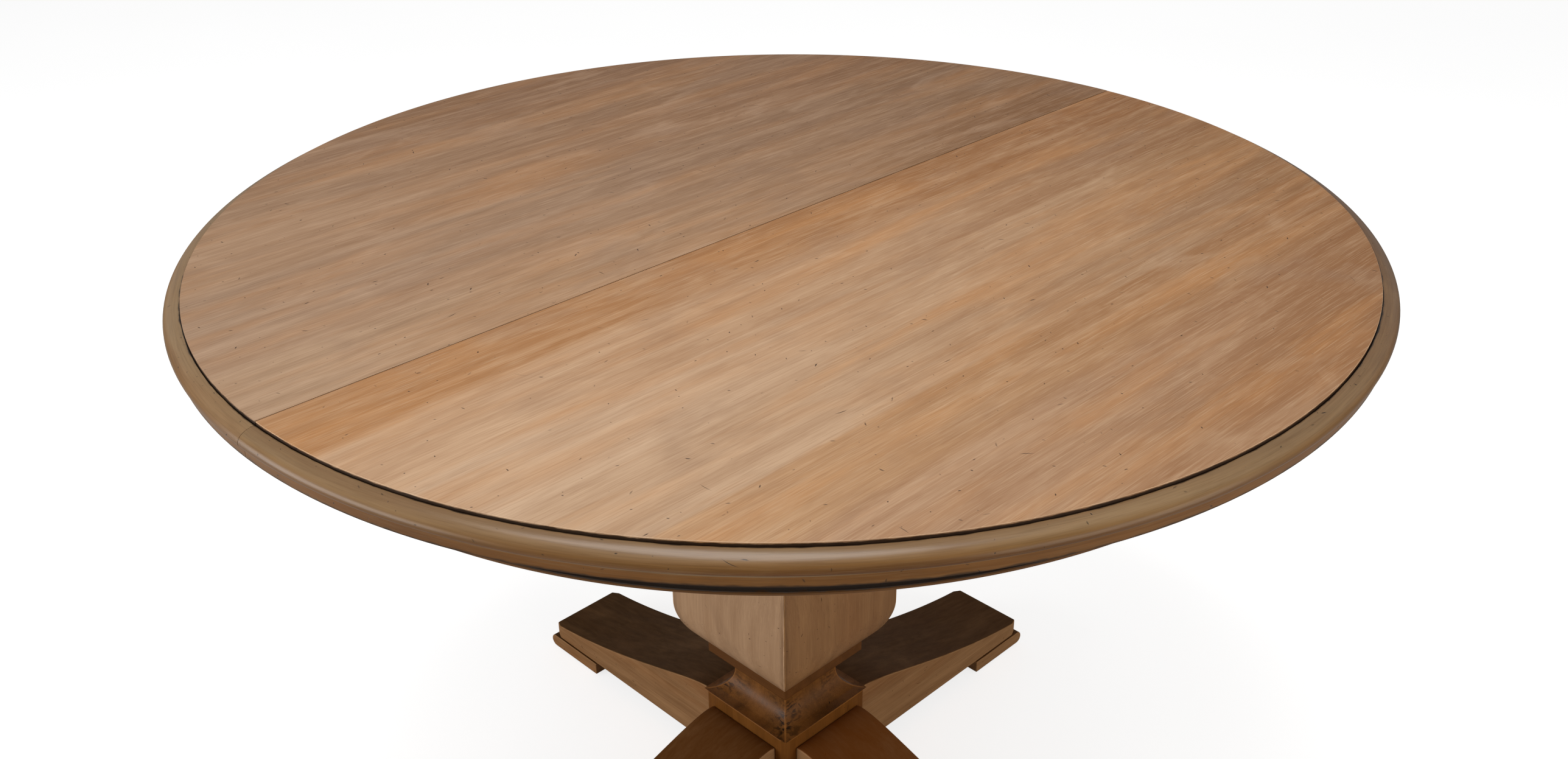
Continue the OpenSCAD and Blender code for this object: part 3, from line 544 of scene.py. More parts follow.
for side, seed in (("right", 70.0), ("left", 90.0)):
    ring = "ring_" + side
    # The rims' dark colour is for their nicks and for the painted shade in the quirk and under the
    # fascia.
    rims[side] = wood(
        "rim_" + side + "_maple", ring, (156, 122, 82), (86, 56, 28), gloss=0.29,
        base=rim_tone_with_painted_light, warm=(132, 82, 38), streak=0.26, fibre=0.26, marks=1.6,
        glaze_and_shade=rim_quirk_painted_shade, seed=seed, stain_and_shade=(34, 24, 17), coat=0.3)
    aprons[side] = wood(
        "apron_" + side + "_maple", ring, (128, 86, 46), (84, 54, 28), gloss=0.5,
        marks=0.5, seed=seed + 2, coat=0.12, specular=0.4)
    # The bead's grey colour is the painted shade in its cove, and also colours its nicks.
    beads[side] = wood(
        "bead_" + side + "_maple", ring, (136, 92, 48), (86, 54, 26), marks=0.8,
        glaze_and_shade=bead_painted_shade, seed=seed + 4, stain_and_shade=(88, 82, 78))

# Each face of the column has its own tone, partly the wood's and partly painted light: the front
# and left faces, which look toward the side softbox, are painted lighter than the right and back.
staves = {
    side: wood(
        "stave_" + side + "_maple", "z", light, dark, gloss=0.46, warm=warm,
        marks=marks, seed=seed, stain_and_shade=(84, 54, 32),
        glaze_and_shade=corner_glaze(8 * MM, 0.45, collar_high.z, ring_low.z, 0.5), calm=0.5,
        smudge=smudge, rub=worn_corner)
    for side, light, dark, warm, smudge, marks, seed in (
        ("front", (210, 171, 134), (154, 115, 82), (176, 128, 84), (144, 109, 80), 1.2, 110.0),
        ("left", (194, 156, 120), (138, 100, 70), (160, 114, 74), (132, 98, 70), 1.2, 114.0),
        ("right", (186, 140, 95), (128, 88, 55), (142, 92, 54), (114, 79, 50), 2.6, 118.0),
        ("back", (182, 138, 94), (124, 86, 54), (138, 90, 54), (112, 78, 50), 2.0, 122.0))}
collar_wood = wood(
    "collar_maple", "x", (124, 78, 38), (84, 50, 20), gloss=0.46, marks=0.6,
    seed=130.0, specular=0.12, calm=0.4, rub=worn_arris(0.5))
scotia_wood = wood(
    "scotia_maple", "z", (156, 102, 50), (98, 58, 24), gloss=0.36, warm=(56, 34, 16),
    blotch=0.5, fibre=0.40, seed=140.0, stain_and_shade=(26, 18, 12), glaze_and_shade=brush_marks, coat=0.03,
    specular=0.14, calm=0.4, rub=worn_corner)
# The plinth's tops get painted shade.
plinth_wood = wood(
    "plinth_maple", "z", (146, 92, 38), (98, 58, 22), gloss=0.44, warm=(112, 64, 22),
    blotch=0.4, fibre=0.35, marks=0.8, glaze_and_shade=painted_shade_on_tops(0.5), seed=150.0, stain_and_shade=(54, 32, 16),
    specular=0.1, calm=0.4, rub=worn_arris(0.8))
# Painted shade darkens the legs' tops, and it differs by leg as painted light: the right and front
# legs, nearer the lights, have lighter tops than the back and left legs.
leg_woods = {
    side: wood(
        "leg_" + side + "_maple", way, (192, 148, 104), (132, 92, 58),
        warm=(150, 94, 48), blotch=0.45, fibre=0.36, marks=1.2, glaze_and_shade=painted_shade_on_tops(share),
        seed=seed, stain_and_shade=stain_and_shade, specular=0.05, calm=0.36, smudge=(112, 76, 44),
        rub=worn_arris(0.35))
    for side, way, share, stain_and_shade, seed in (
        ("right", "x", 0.88, (130, 70, 16), 160.0), ("back", "y", 0.94, (84, 52, 20), 164.0),
        ("left", "x", 0.94, (76, 48, 17), 168.0), ("front", "y", 0.88, (104, 58, 14), 172.0))}
inner_x, inner_y = [
    wood("plain_beech_" + way, way, (206, 168, 122), (168, 126, 82), gloss=0.6, fibre=0.25,
         marks=0.0, seed=seed, specular=0.3)
    for way, seed in (("x", 180.0), ("y", 190.0))]
birch_ply = plywood("birch_plywood")
zinc = metal("zinc_plated_steel", (190, 190, 186), 0.34)
black_steel = metal("black_steel", (58, 58, 60), 0.5, 160, 0.396)
gear_plastic = plastic("cream_nylon", (214, 204, 178))
glide_plastic = plastic("grey_polythene", (72, 70, 68), 0.5)


# ---- Meshes ----

SAME_PLACE = 1e-6


def linked(name, data):
    """New object in the scene for a mesh, lamp or camera."""
    thing = bpy.data.objects.new(name, data)
    scene.collection.objects.link(thing)
    return thing


def solid(name, mesh, material, body, stands_for, bevel=0.0, segments=2, angle=40):
    """Makes a mesh a finished piece: faces outwards, smooth, edges eased, riding on its body.
    bevel is the width of the eased edges, where faces meet at more than angle degrees."""
    work = bmesh.new()
    work.from_mesh(mesh)
    bmesh.ops.remove_doubles(work, verts=work.verts, dist=SAME_PLACE)
    bmesh.ops.recalc_face_normals(work, faces=work.faces)
    work.to_mesh(mesh)
    work.free()
    mesh.materials.clear()
    mesh.materials.append(material)
    mesh.shade_smooth()
    mesh.set_sharp_from_angle(angle=math.radians(angle))
    piece = linked(name, mesh)
    if bevel > 0:
        ease = piece.modifiers.new("eased_edges", "BEVEL")
        ease.width = bevel
        ease.segments = segments
        ease.limit_method = "ANGLE"
        ease.angle_limit = math.radians(angle)
        ease.harden_normals = True
    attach(piece, body)
    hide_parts(*stands_for)
    return piece


def mesh_of(name, points, faces):
    mesh = bpy.data.meshes.new(name)
    mesh.from_pydata([tuple(p) for p in points], [], faces)
    return mesh


def lofted(name, sections):
    """Closed solid through sections that all have the same number of points."""
    count = len(sections[0])
    points = [p for section in sections for p in section]
    last = (len(sections) - 1) * count
    faces = [tuple(range(count - 1, -1, -1)), tuple(range(last, last + count))]
    for level in range(len(sections) - 1):
        for i in range(count):
            a = level * count + i
            b = level * count + (i + 1) % count
            faces.append((a, b, b + count, a + count))
    return mesh_of(name, points, faces)


def extruded(name, outline, low, high, place):
    """Closed prism: an outline carried from low to high. place turns (u, v, w) into x, y, z."""
    return lofted(name, [[place(u, v, w) for u, v in outline] for w in (low, high)])


def square_turned(name, side):
    """Solid of square section whose half width and height follow the outline."""
    return lofted(name, [
        [(half, -half, z), (half, half, z), (-half, half, z), (-half, -half, z)]
        for half, z in side])


def arc(cx, cy, rx, ry, start, end, steps):
    """Points along an ellipse about (cx, cy), between two angles in degrees."""
    return [(cx + rx * math.cos(math.radians(start + (end - start) * i / steps)),
             cy + ry * math.sin(math.radians(start + (end - start) * i / steps)))
            for i in range(steps + 1)]


def upright(u, v, w):
    """Place of an outline's point when the outline lies flat and is carried upwards."""
    return u, v, w


def turn_mesh(mesh, degrees):
    mesh.transform(Matrix.Rotation(math.radians(degrees), 4, "Z"))
    return mesh


def islands(node):
    """Box of each separate solid in a CAD node, as (low, high) pairs in a fixed order."""
    mesh = nodes[node].data
    work = bmesh.new()
    work.from_mesh(mesh)
    bmesh.ops.remove_doubles(work, verts=work.verts, dist=SAME_PLACE)
    seen, found = set(), []
    for start in work.verts:
        if start in seen:
            continue
        stack, group = [start], []
        seen.add(start)
        while stack:
            vert = stack.pop()
            group.append(vert.co.copy())
            for edge in vert.link_edges:
                other = edge.other_vert(vert)
                if other not in seen:
                    seen.add(other)
                    stack.append(other)
        places = np.array(group)
        found.append((Vector(places.min(0)), Vector(places.max(0))))
    work.free()
    return sorted(found, key=lambda pair: tuple(round(v, 4) for v in pair[0]))


def settled(holder, tools=()):
    """Final shape of an object as a plain mesh. The object and its tools are taken away."""
    graph = bpy.context.evaluated_depsgraph_get()
    mesh = bpy.data.meshes.new_from_object(holder.evaluated_get(graph), depsgraph=graph)
    for item in [*tools, holder]:
        bpy.data.objects.remove(item)
    return mesh


def carved(name, mesh, cutters):
    """Cuts each cutter mesh out of a mesh."""
    blank = linked(name + "_blank", mesh)
    tools = [linked(f"{name}_cutter_{index}", cutter) for index, cutter in enumerate(cutters)]
    for tool in tools:
        cut = blank.modifiers.new("cut", "BOOLEAN")
        cut.operation = "DIFFERENCE"
        cut.solver = "EXACT"
        cut.object = tool
    return settled(blank, tools)


# ---- Rules built as geometry trees ----

def rule_tree(name, sizes):
    """Empty geometry tree with named inputs for its sizes, and those inputs."""
    tree = bpy.data.node_groups.new(name, "GeometryNodeTree")
    tree.interface.new_socket("Geometry", in_out="INPUT", socket_type="NodeSocketGeometry")
    for label, kind in sizes:
        tree.interface.new_socket(label, in_out="INPUT", socket_type="NodeSocket" + kind)
    tree.interface.new_socket("Geometry", in_out="OUTPUT", socket_type="NodeSocketGeometry")
    return tree, tree.nodes.new("NodeGroupInput").outputs


def ended(tree, given, shape):
    """Closes a geometry tree: its result is real and has its material."""
    real = put_node(tree, "GeometryNodeRealizeInstances", "Geometry", {"Geometry": shape})
    painted = put_node(tree, "GeometryNodeSetMaterial", "Geometry", {
        "Geometry": real, "Material": given["Material"]})
    tree.links.new(painted, tree.nodes.new("NodeGroupOutput").inputs["Geometry"])
    return tree


def moulding_tree():
    """Carries an outline round an arc, as a moulding cutter does."""
    tree, given = rule_tree("moulding_round_an_arc", [
        ("Radius", "Float"), ("Start Angle", "Float"), ("Sweep Angle", "Float"),
        ("Steps", "Int"), ("Material", "Material")])
    outline = put_node(tree, "GeometryNodeMeshToCurve", "Curve", {"Mesh": given["Geometry"]})
    path = put_node(tree, "GeometryNodeCurveArc", "Curve", {
        "Radius": given["Radius"], "Start Angle": given["Start Angle"],
        "Sweep Angle": given["Sweep Angle"], "Resolution": given["Steps"]})
    level_path = put_node(tree, "GeometryNodeSetCurveNormal", "Curve", {"Curve": path},
                          mode="Z_UP")
    swept = put_node(tree, "GeometryNodeCurveToMesh", "Mesh", {
        "Curve": level_path, "Profile Curve": outline, "Fill Caps": True})
    return ended(tree, given, swept)


def fastener_tree():
    """Sets one fastener on every point, each turned by its own fixed amount about its axis."""
    tree, given = rule_tree("fastener_on_each_point", [
        ("Fastener", "Object"), ("Lean", "Vector"), ("Seed", "Int"), ("Material", "Material")])
    shape = put_node(tree, "GeometryNodeObjectInfo", "Geometry", {"Object": given["Fastener"]})
    spread = put_node(tree, "GeometryNodeInstanceOnPoints", "Instances", {
        "Points": given["Geometry"], "Instance": shape, "Rotation": given["Lean"]})
    chance = put_node(tree, "FunctionNodeRandomValue", 1, {3: math.tau, "Seed": given["Seed"]})
    about = put_node(tree, "ShaderNodeCombineXYZ", "Vector", {"Z": chance})
    spun = put_node(tree, "GeometryNodeRotateInstances", "Instances", {
        "Instances": spread, "Rotation": about})
    return ended(tree, given, spun)


def grown(name, start, tree, sizes):
    """Runs a geometry tree on a mesh and gives its result as a plain mesh."""
    holder = linked(name + "_rule", start)
    rule = holder.modifiers.new("rule", "NODES")
    rule.node_group = tree
    for item in tree.interface.items_tree:
        if item.item_type == "SOCKET" and item.in_out == "INPUT" and item.name in sizes:
            rule[item.identifier] = sizes[item.name]
    mesh = settled(holder)
    mesh.name = name
    return mesh


MOULDING = moulding_tree()
FASTENER = fastener_tree()
RING_POINTS = 146


def half_moulding(name, side, outline, material, stands_for, bevel):
    """Half ring of a moulding, stopped at the seam. outline is (radius, height) points."""
    count = len(outline)
    gap = SEAM / TOP_R
    wire = bpy.data.meshes.new(name + "_outline")
    wire.from_pydata([(r - TOP_R, -z, 0.0) for r, z in outline],
                     [(i, (i + 1) % count) for i in range(count)], [])
    start = -math.pi / 2 + gap + (0 if side == "right" else math.pi)
    mesh = grown(name, wire, MOULDING, {
        "Radius": TOP_R, "Start Angle": start, "Sweep Angle": math.pi - 2 * gap,
        "Steps": RING_POINTS, "Material": material})
    return solid(name, mesh, material, side + "_half", [stands_for], bevel)


# ---- The top ----

def rim_outline():
    """Section of the edge band: round nose, small round under it, fascia, flange and quirk."""
    fascia_r, joint, quirk_slope, under_step = TOP_R - FASCIA_SET, 0.2 * MM, 0.4 * MM, 0.6 * MM
    nose = arc(TOP_R - NOSE_REACH, NOSE_Z, NOSE_REACH, NOSE_RISE, 90, 0, 22)
    under = arc(TOP_R - UNDER_REACH, NOSE_Z, UNDER_REACH, UNDER_DROP, -12, -90, 8)
    inner = FIELD_R + joint
    step_z = TOP_Z - RIM_STEP
    return nose + under + [
        (fascia_r, NOSE_Z - UNDER_DROP - under_step),
        (fascia_r, EDGE_Z), (FLANGE_R, EDGE_Z), (FLANGE_R, PANEL_Z),
        (inner, PANEL_Z), (inner, step_z - QUIRK_D), (inner + QUIRK_W, step_z - QUIRK_D),
        (inner + QUIRK_W + quirk_slope, step_z)]


def bead_outline():
    """Section of the bead: a square lip with eased corners, and a cove up to the apron."""
    lip_h, ease, cove_r, cove_set = 3.5 * MM, 1 * MM, 9 * MM, 2 * MM
    cove_h = APRON_Z - BEAD_Z - lip_h
    return [
        (APRON_R - APRON_T, BEAD_Z), (BEAD_R - ease, BEAD_Z), (BEAD_R, BEAD_Z + ease),
        (BEAD_R, BEAD_Z + lip_h - ease), (BEAD_R - ease, BEAD_Z + lip_h),
    ] + arc(BEAD_R - cove_set, APRON_Z, cove_r, cove_h, 270, 180, 10) + [
        (APRON_R - APRON_T, APRON_Z)]


def half_panel(name, side, material, holes):
    """Half disc of glued boards, with a (place, radius, depth) hole for each pin in its edge."""
    sign = SIDES[side]
    reach = math.acos(SEAM / FIELD_R)
    turns = [reach * (2 * i / (RING_POINTS - 1) - 1) for i in range(RING_POINTS)]
    outline = [(sign * FIELD_R * math.cos(turn), sign * FIELD_R * math.sin(turn))
               for turn in turns]
    bores = []
    for place, radius, depth in holes:
        bore = bmesh.new()
        bmesh.ops.create_cone(bore, cap_ends=True, segments=24, radius1=radius, radius2=radius,
                              depth=2 * depth)
        bmesh.ops.rotate(bore, verts=bore.verts, matrix=Matrix.Rotation(math.pi / 2, 3, "Y"))
        bmesh.ops.translate(bore, verts=bore.verts, vec=place)
        bores.append(bpy.data.meshes.new(name + "_bore"))
        bore.to_mesh(bores[-1])
        bore.free()
    mesh = carved(name, extruded(name, outline, PANEL_Z, TOP_Z, upright), bores)
    return solid(name, mesh, material, side + "_half", [side + "_panel"],
                 0.7 * MM)


def pin_holes():
    """Holes for the alignment pins, a little wider and deeper than the pins."""
    spare_r, spare_depth = 0.3 * MM, 2 * MM
    pins = islands("alignment_pins")
    low, high = pins[0]
    radius = (high.z - low.z) / 2 + spare_r
    middles = [(a + b) / 2 for a, b in pins]
    return [((-SEAM, p.y, p.z), radius, spare_depth - low.x) for p in middles]


half_panel("left_field", "left", field_left, pin_holes())
half_panel("right_field", "right", field_right, [])

for side in SIDES:
    half_moulding(side + "_moulded_edge", side, rim_outline(), rims[side], side + "_rim",
                  0.35 * MM)
    apron = [(APRON_R, APRON_Z), (APRON_R, PANEL_Z), (APRON_R - APRON_T, PANEL_Z),
             (APRON_R - APRON_T, APRON_Z)]
    half_moulding(side + "_apron_board", side, apron, aprons[side], side + "_apron",
                  0.6 * MM)
    half_moulding(side + "_apron_bead", side, bead_outline(), beads[side], side + "_bead",
                  0.3 * MM)


# ---- The column ----

# Half width of the column at its neck
NECK = 56 * MM


def stave_side():
    """Half width and height of a stave's outer face: round belly, long taper to the neck."""
    belly, belly_r, rise, flat = 95 * MM, 78 * MM, 61 * MM, 12 * MM
    low, high = stave_low.z, stave_high.z
    start = -math.degrees(math.asin(rise / belly_r))
    side = arc(belly - belly_r, low + rise, belly_r, belly_r, start, 0, 18)
    taper = low + rise + flat
    steps = 32
    for i in range(steps + 1):
        side.append((NECK + (belly - NECK) * (1 + math.cos(math.pi * i / steps)) / 2,
                     taper + (high - taper) * i / steps))
    return side


def stave(name, turn, stands_for, material):
    """Quarter of the hollow column, mitred to its neighbours with a hairline gap."""
    core, gap = 38 * MM, 0.12 * MM
    sections = [[(core, -core + gap, z), (half, -half + gap, z), (half, half - gap, z),
                 (core, core - gap, z)] for half, z in stave_side()]
    mesh = turn_mesh(lofted(name, sections), turn)
    return solid(name, mesh, material, "pedestal", [stands_for], 0.5 * MM)


for side, turn in TURNS.items():
    stave("column_face_" + side, turn, "column_stave_" + side, staves[side])


def block(name, side, material, stands_for, bevel, segments=2):
    """Square block of the pedestal, moulded alike on its four sides."""
    return solid(name, square_turned(name, side), material, "pedestal", [stands_for],
                 bevel, segments)


collar_half = collar_high.x
block("square_collar", [(collar_half, collar_low.z), (collar_half, collar_high.z)],
      collar_wood, "neck_collar", 1.6 * MM, 3)

ring_half, ring_r = ring_high.x, (ring_high.z - ring_low.z) / 2
block("neck_astragal", arc(ring_half - ring_r, ring_low.z + ring_r, ring_r, ring_r, -90, 90, 16),
      collar_wood, "neck_ring", 0.8 * MM)

capital_half, cove_h, fillet = capital_high.x, 32 * MM, 5 * MM
cap = [(capital_half, capital_low.z + cove_h), (capital_half, capital_high.z)]
block("square_capital", arc(capital_half - fillet, capital_low.z, capital_half - fillet - NECK,
                            cove_h, 180, 90, 18) + cap,
      collar_wood, "capital", 1.0 * MM)

# The scotia is two quarter rounds that meet at its throat
plinth_half = plinth_high.x
scotia_depth, lower_h = 28 * MM, 31 * MM
throat = plinth_half - scotia_depth
turn_z = scotia_low.z + lower_h
lower = arc(plinth_half, turn_z, scotia_depth, lower_h, 270, 180, 18)
upper = arc(collar_half, turn_z, collar_half - throat, scotia_high.z - turn_z, 180, 90, 16)
block("deep_scotia", lower + upper[1:], scotia_wood, "scotia_block", 0.8 * MM)

# ---- The base ----

chamfer = 8.3 * MM
corner = plinth_half - chamfer
PLINTH_PLAN = [
    (plinth_half, -corner), (plinth_half, corner), (corner, plinth_half),
    (-corner, plinth_half), (-plinth_half, corner), (-plinth_half, -corner),
    (-corner, -plinth_half), (corner, -plinth_half)]
plinth_mesh = extruded("square_plinth", PLINTH_PLAN, plinth_low.z, plinth_high.z, upright)
solid("square_plinth", plinth_mesh, plinth_wood, "pedestal", ["plinth"],
      1.4 * MM, 3, 30)


def leg_sections():
    """Cross sections of a leg from the plinth out to its toe. Its back is one curve, which the
    root pull lifts over the plinth's end and the toe pull flattens into the toe."""
    toe_h, toe_round = 20 * MM, 5 * MM
    root_pull, toe_pull = (33 * MM, 12 * MM), (175 * MM, 19 * MM)
    root = (leg_low.x, leg_high.z)
    toe = (leg_high.x, leg_low.z + toe_h)
    first = (root[0] + root_pull[0], root[1] + root_pull[1])
    second = (toe[0] - toe_pull[0], toe[1] + toe_pull[1])
    half, steps = leg_high.y, 48
    sections = []
    for i in range(steps + 1):
        t = i / steps
        a, z = [(1 - t) ** 3 * root[k] + 3 * t * (1 - t) ** 2 * first[k]
                + 3 * t * t * (1 - t) * second[k] + t ** 3 * toe[k] for k in (0, 1)]
        over = max(0.0, a - (toe[0] - toe_round))
        wide = half - toe_round + math.sqrt(max(0.0, toe_round ** 2 - over ** 2))
        sections.append([(a, -wide, leg_low.z), (a, wide, leg_low.z), (a, wide, z), (a, -wide, z)])
    return sections


def leg(name, turn, stands_for, material):
    """Leg that swells at its root and runs out to a thin toe with round corners."""
    mesh = turn_mesh(lofted(name, leg_sections()), turn)
    return solid(name, mesh, material, "pedestal", [stands_for], 1.8 * MM, 3, 35)


def foot(name, turn, stands_for, material):
    """Pad under the toe: square at the back, with a round nose that stands out past the toe."""
    radius = (pad_high.z - pad_low.z) / 2
    nose = arc(pad_high.x - radius, pad_low.z + radius, radius, radius, -90, 90, 20)
    outline = nose + [(pad_low.x, pad_high.z), (pad_low.x, pad_low.z)]
    mesh = extruded(name, outline, pad_low.y, pad_high.y, lambda u, v, w: (u, w, v))
    return solid(name, turn_mesh(mesh, turn), material, "pedestal", [stands_for],
                 1.2 * MM, 3, 50)


for side, turn in TURNS.items():
    leg("scroll_leg_" + side, turn, "leg_" + side, leg_woods[side])
    foot("foot_" + side, turn, "foot_pad_" + side, leg_woods[side])


# ---- Screws ----

SCREW_HEAD_T = 3 * MM


def lathed(name, side, steps=20):
    """Closed round solid about Z from (radius, height) points, poles included."""
    points, faces = [], []
    for r, z in side:
        if r == 0:
            points.append((0, 0, z))
            continue
        for i in range(steps):
            turn = math.tau * i / steps
            points.append((r * math.cos(turn), r * math.sin(turn), z))
    starts, place = [], 0
    for r, _ in side:
        starts.append(place)
        place += 1 if r == 0 else steps
    for k in range(len(side) - 1):
        a, b = starts[k], starts[k + 1]
        for i in range(steps):
            j = (i + 1) % steps
            if side[k][0] == 0:
                faces.append((a, b + i, b + j))
            elif side[k + 1][0] == 0:
                faces.append((a + i, b, a + j))
            else:
                faces.append((a + i, b + i, b + j, a + j))
    return mesh_of(name, points, faces)


def screw_shape(name, length):
    """Pan head screw, point up along +Z, with the underside of its head at the origin. Two
    crossed slots make its drive."""
    head_r, shank_r, point_h = 5 * MM, 2.5 * MM, 4 * MM
    wide, deep, slot = head_r * 0.62, SCREW_HEAD_T * 0.55, 0.9 * MM
    dome = [(0, 1), (0.55, 0.97), (0.8, 0.82), (0.95, 0.5), (1, 0.2), (1, 0)]
    head = [(head_r * out, -SCREW_HEAD_T * down) for out, down in dome]
    mesh = lathed(name, head + [(shank_r, 0), (shank_r, length - point_h), (0, length)])
    plan = [(-wide, -slot / 2), (wide, -slot / 2), (wide, slot / 2), (-wide, slot / 2)]
    return carved(name, mesh, [turn_mesh(extruded(
        name + "_slot", plan, -SCREW_HEAD_T - MM, -SCREW_HEAD_T + deep, upright), turn)
        for turn in (0, 90)])


def screws(node, body, up, seed):
    """Detailed screws in the places of a frame node's plain ones. up says that they point up."""
    groups = {}
    for low, high in islands(node):
        length = round(high.z - low.z - SCREW_HEAD_T, 5)
        point = ((low.x + high.x) / 2, (low.y + high.y) / 2,
                 low.z + SCREW_HEAD_T if up else high.z - SCREW_HEAD_T)
        groups.setdefault(length, []).append(point)
    merged = bmesh.new()
    for length, points in sorted(groups.items()):
        shape = linked(node + "_shape", screw_shape(node + "_shape", length))
        start = mesh_of(node + "_points", points, [])
        mesh = grown(node + "_set", start, FASTENER, {
            "Fastener": shape, "Lean": (0.0 if up else math.pi, 0.0, 0.0), "Seed": seed,
            "Material": zinc})
        merged.from_mesh(mesh)
        bpy.data.objects.remove(shape)
    result = bpy.data.meshes.new(node + "_detailed")
    merged.to_mesh(result)
    merged.free()
    return solid(node.replace("_screws", "") + "_pan_screws", result, zinc, body, [node],
                 0.0, angle=35)


screws("right_screws", "right_half", True, 3)
screws("left_screws", "left_half", True, 5)
screws("rail_screws", "pedestal", True, 7)
screws("base_plate_screws", "pedestal", True, 11)
screws("mounting_screws", "pedestal", False, 13)


# ---- Frame nodes that keep their shape ----

def dress(node, material, ease):
    """Gives a frame node its finish and eases its sharp edges, with its mesh left as it is.
    Flat faces are joined up first, so that the easing round a hole stays clean."""
    piece = nodes[node]
    piece.data.materials.clear()
    piece.data.materials.append(material)
    weld = piece.modifiers.new("joined_faces", "WELD")
    weld.merge_threshold = 0.01 * MM
    flat = piece.modifiers.new("whole_flat_faces", "DECIMATE")
    flat.decimate_type = "DISSOLVE"
    flat.angle_limit = math.radians(0.2)
    bevel = piece.modifiers.new("eased_edges", "BEVEL")
    bevel.width = ease
    bevel.segments = 2
    bevel.limit_method = "ANGLE"
    bevel.angle_limit = math.radians(40)
    bevel.harden_normals = False


# Finish and width of eased edge in millimetres for each of these pieces
FINISHES = (
    (inner_x, 0.6, ("left_runners", "right_runners")),
    (inner_x, 1.0, ("left_battens", "right_battens")),
    (inner_y, 0.8, ("left_blocks", "right_blocks")),
    (inner_x, 0.5, ("center_rail_front", "center_rail_back")),
    (inner_x, 0.4, ("column_plugs", "leg_dowels", "alignment_pins")),
    (gear_plastic, 0.15, ("left_racks", "right_racks", "pinion_front", "pinion_back")),
    (birch_ply, 0.8, ("mounting_plate",)),
    (black_steel, 0.5, ("base_plate",)),
    (glide_plastic, 0.5, ("glides",)),
    (zinc, 0.3, ("tie_rod", "tie_rod_nuts", "tie_rod_washers", "leg_bolts", "leg_bolt_washers",
                 "leg_bolt_nuts", "pinion_axles", "latch_pivots", "latch_keepers", "latch_front",
                 "latch_back")))
for material, ease, names in FINISHES:
    for node in names:
        dress(node, material, ease * MM)


# ---- Floor, light and camera ----

def shown_or_thrown(tree, thrown, shown, surface):
    """Joins two shaders: one for what is seen directly, one for the light it throws."""
    ray = tree.nodes.new("ShaderNodeLightPath")
    choice = tree.nodes.new("ShaderNodeMixShader")
    tree.links.new(ray.outputs["Is Camera Ray"], choice.inputs[0])
    tree.links.new(thrown, choice.inputs[1])
    tree.links.new(shown, choice.inputs[2])
    tree.links.new(choice.outputs[0], surface)


def plain_floor():
    """Pale floor, far wider than any view. It shows near white and throws back less light."""
    half = 40
    mesh = mesh_of("floor", [(-half, -half, 0), (half, -half, 0), (half, half, 0),
                             (-half, half, 0)], [(0, 1, 2, 3)])
    f = Finish("pale_floor", Roughness=0.9, Specular_IOR_Level=0.1, Emission_Strength=0.76,
               Emission_Color=(1.0, 1.0, 1.0, 1.0))
    mottle = f.noise(f.here, (1.2, 1.2, 1.2), 2, 0.5, 0.0, 2)
    colour = f.mix(f.span(mottle, 0.3, 0.7), linear(214, 214, 214), linear(218, 218, 218))
    bounce = f.put("ShaderNodeBsdfDiffuse", "BSDF", {"Color": linear(206, 203, 197)})
    mesh.materials.append(f.finish(colour))
    shown_or_thrown(f.tree, bounce, f.shader.outputs["BSDF"],
                    f.tree.nodes["Material Output"].inputs["Surface"])
    linked("floor", mesh)


def soft_light(name, place, target, size, power, tone=(1.0, 1.0, 1.0)):
    """Soft box of a given width and height that faces its target."""
    lamp = bpy.data.lights.new(name, "AREA")
    lamp.shape = "RECTANGLE"
    lamp.size, lamp.size_y = size
    lamp.energy = power
    lamp.color = tone
    holder = linked(name, lamp)
    holder.location = place
    aim = (Vector(target) - Vector(place)).to_track_quat("-Z", "Y")
    holder.rotation_euler = aim.to_euler()


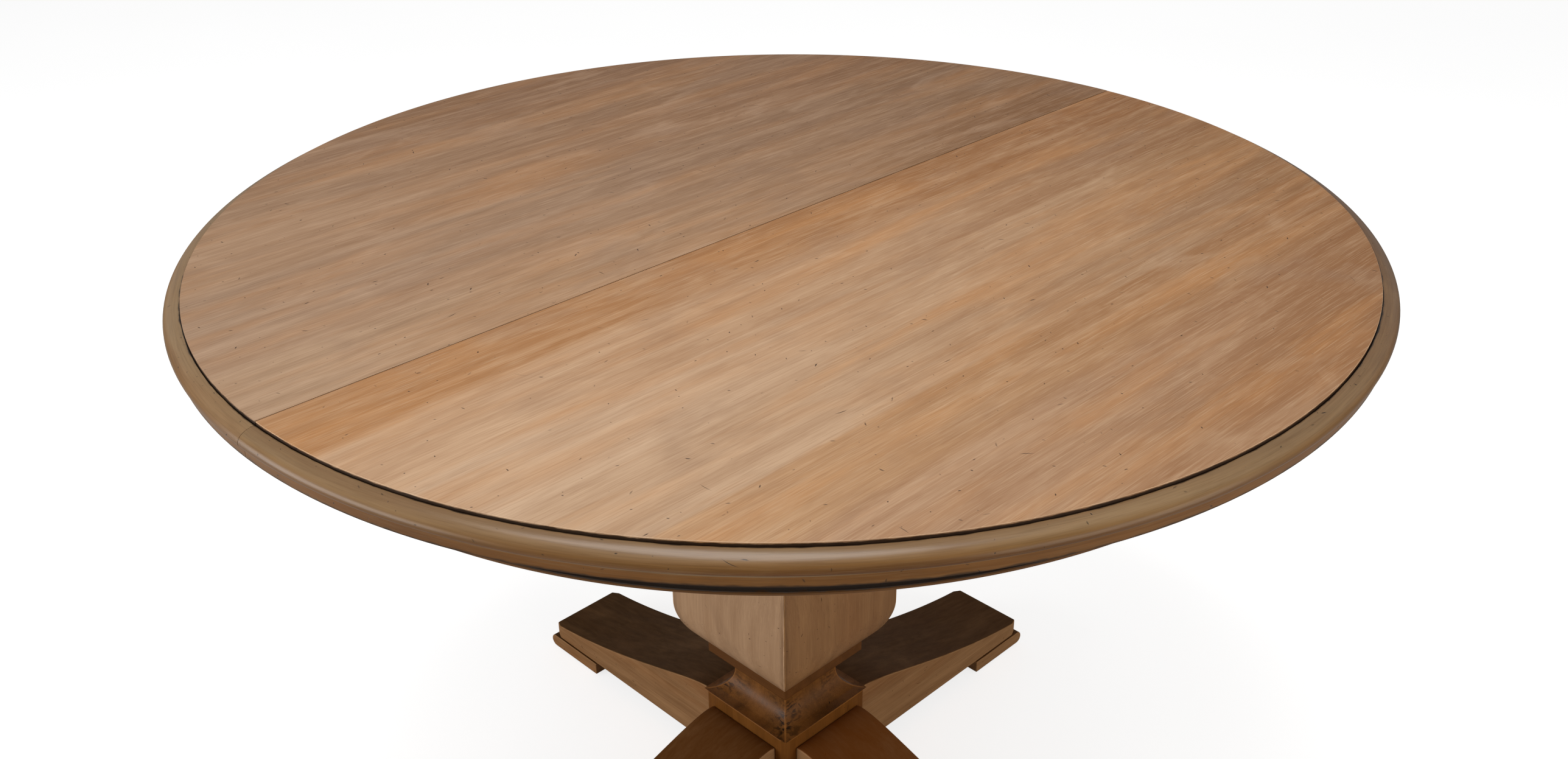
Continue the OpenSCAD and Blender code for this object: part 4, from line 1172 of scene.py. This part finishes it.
def soft_sky(light, shown):
    """Even white surroundings: light is what falls on the table, shown is the bare background."""
    world = bpy.data.worlds.new("soft_sky")
    world.use_nodes = True
    tree = world.node_tree
    falling = tree.nodes["Background"]
    backdrop = tree.nodes.new("ShaderNodeBackground")
    for white, strength in ((falling, light), (backdrop, shown)):
        white.inputs["Color"].default_value = (1.0, 1.0, 1.0, 1.0)
        white.inputs["Strength"].default_value = strength
    shown_or_thrown(tree, falling.outputs[0], backdrop.outputs[0],
                    tree.nodes["World Output"].inputs["Surface"])
    scene.world = world


plain_floor()
soft_sky(light=0.25, shown=1.0)
soft_light("overhead_softbox", (0.0, -0.25, 2.8), (0.0, 0.0, 0.7), (1.6, 1.2), 35)
soft_light("side_softbox", (-1.4, -3.0, 0.75), (0.0, 0.0, 0.35), (2.6, 1.3), 45)
soft_light("fill_softbox", (3.0, 0.3, 0.8), (0.0, 0.0, 0.3), (2.4, 1.4), 24, (1.0, 0.94, 0.86))

# The camera stands off the front right of the table, looks down by its dip, and is turned and
# rolled a little, in radians. Its lens and sensor are in millimetres.
CAMERA_PLACE = Vector((1.03506, -1.01894, 1.35900))
CAMERA_DIP = 0.4981
CAMERA_TURN = -0.0066
CAMERA_ROLL = -0.0095
CAMERA_LENS = 34.36
CAMERA_SENSOR = 36
away = Vector((-1, 1, 0)).normalized()
aside = Vector((1, 1, 0)).normalized()
ahead = math.cos(CAMERA_TURN) * away + math.sin(CAMERA_TURN) * aside
level = math.cos(CAMERA_TURN) * aside - math.sin(CAMERA_TURN) * away
look = math.cos(CAMERA_DIP) * ahead - math.sin(CAMERA_DIP) * Vector((0, 0, 1))
upward = level.cross(look)
across = math.cos(CAMERA_ROLL) * level + math.sin(CAMERA_ROLL) * upward
upward = across.cross(look)
lens = bpy.data.cameras.new("camera")
lens.lens = CAMERA_LENS
lens.sensor_width = CAMERA_SENSOR
lens.sensor_fit = "HORIZONTAL"
lens.clip_start = 0.02
camera = linked("camera", lens)
camera.matrix_world = Matrix((
    (across.x, upward.x, -look.x, CAMERA_PLACE.x),
    (across.y, upward.y, -look.y, CAMERA_PLACE.y),
    (across.z, upward.z, -look.z, CAMERA_PLACE.z),
    (0, 0, 0, 1)))
scene.camera = camera
scene.view_settings.view_transform = "Standard"
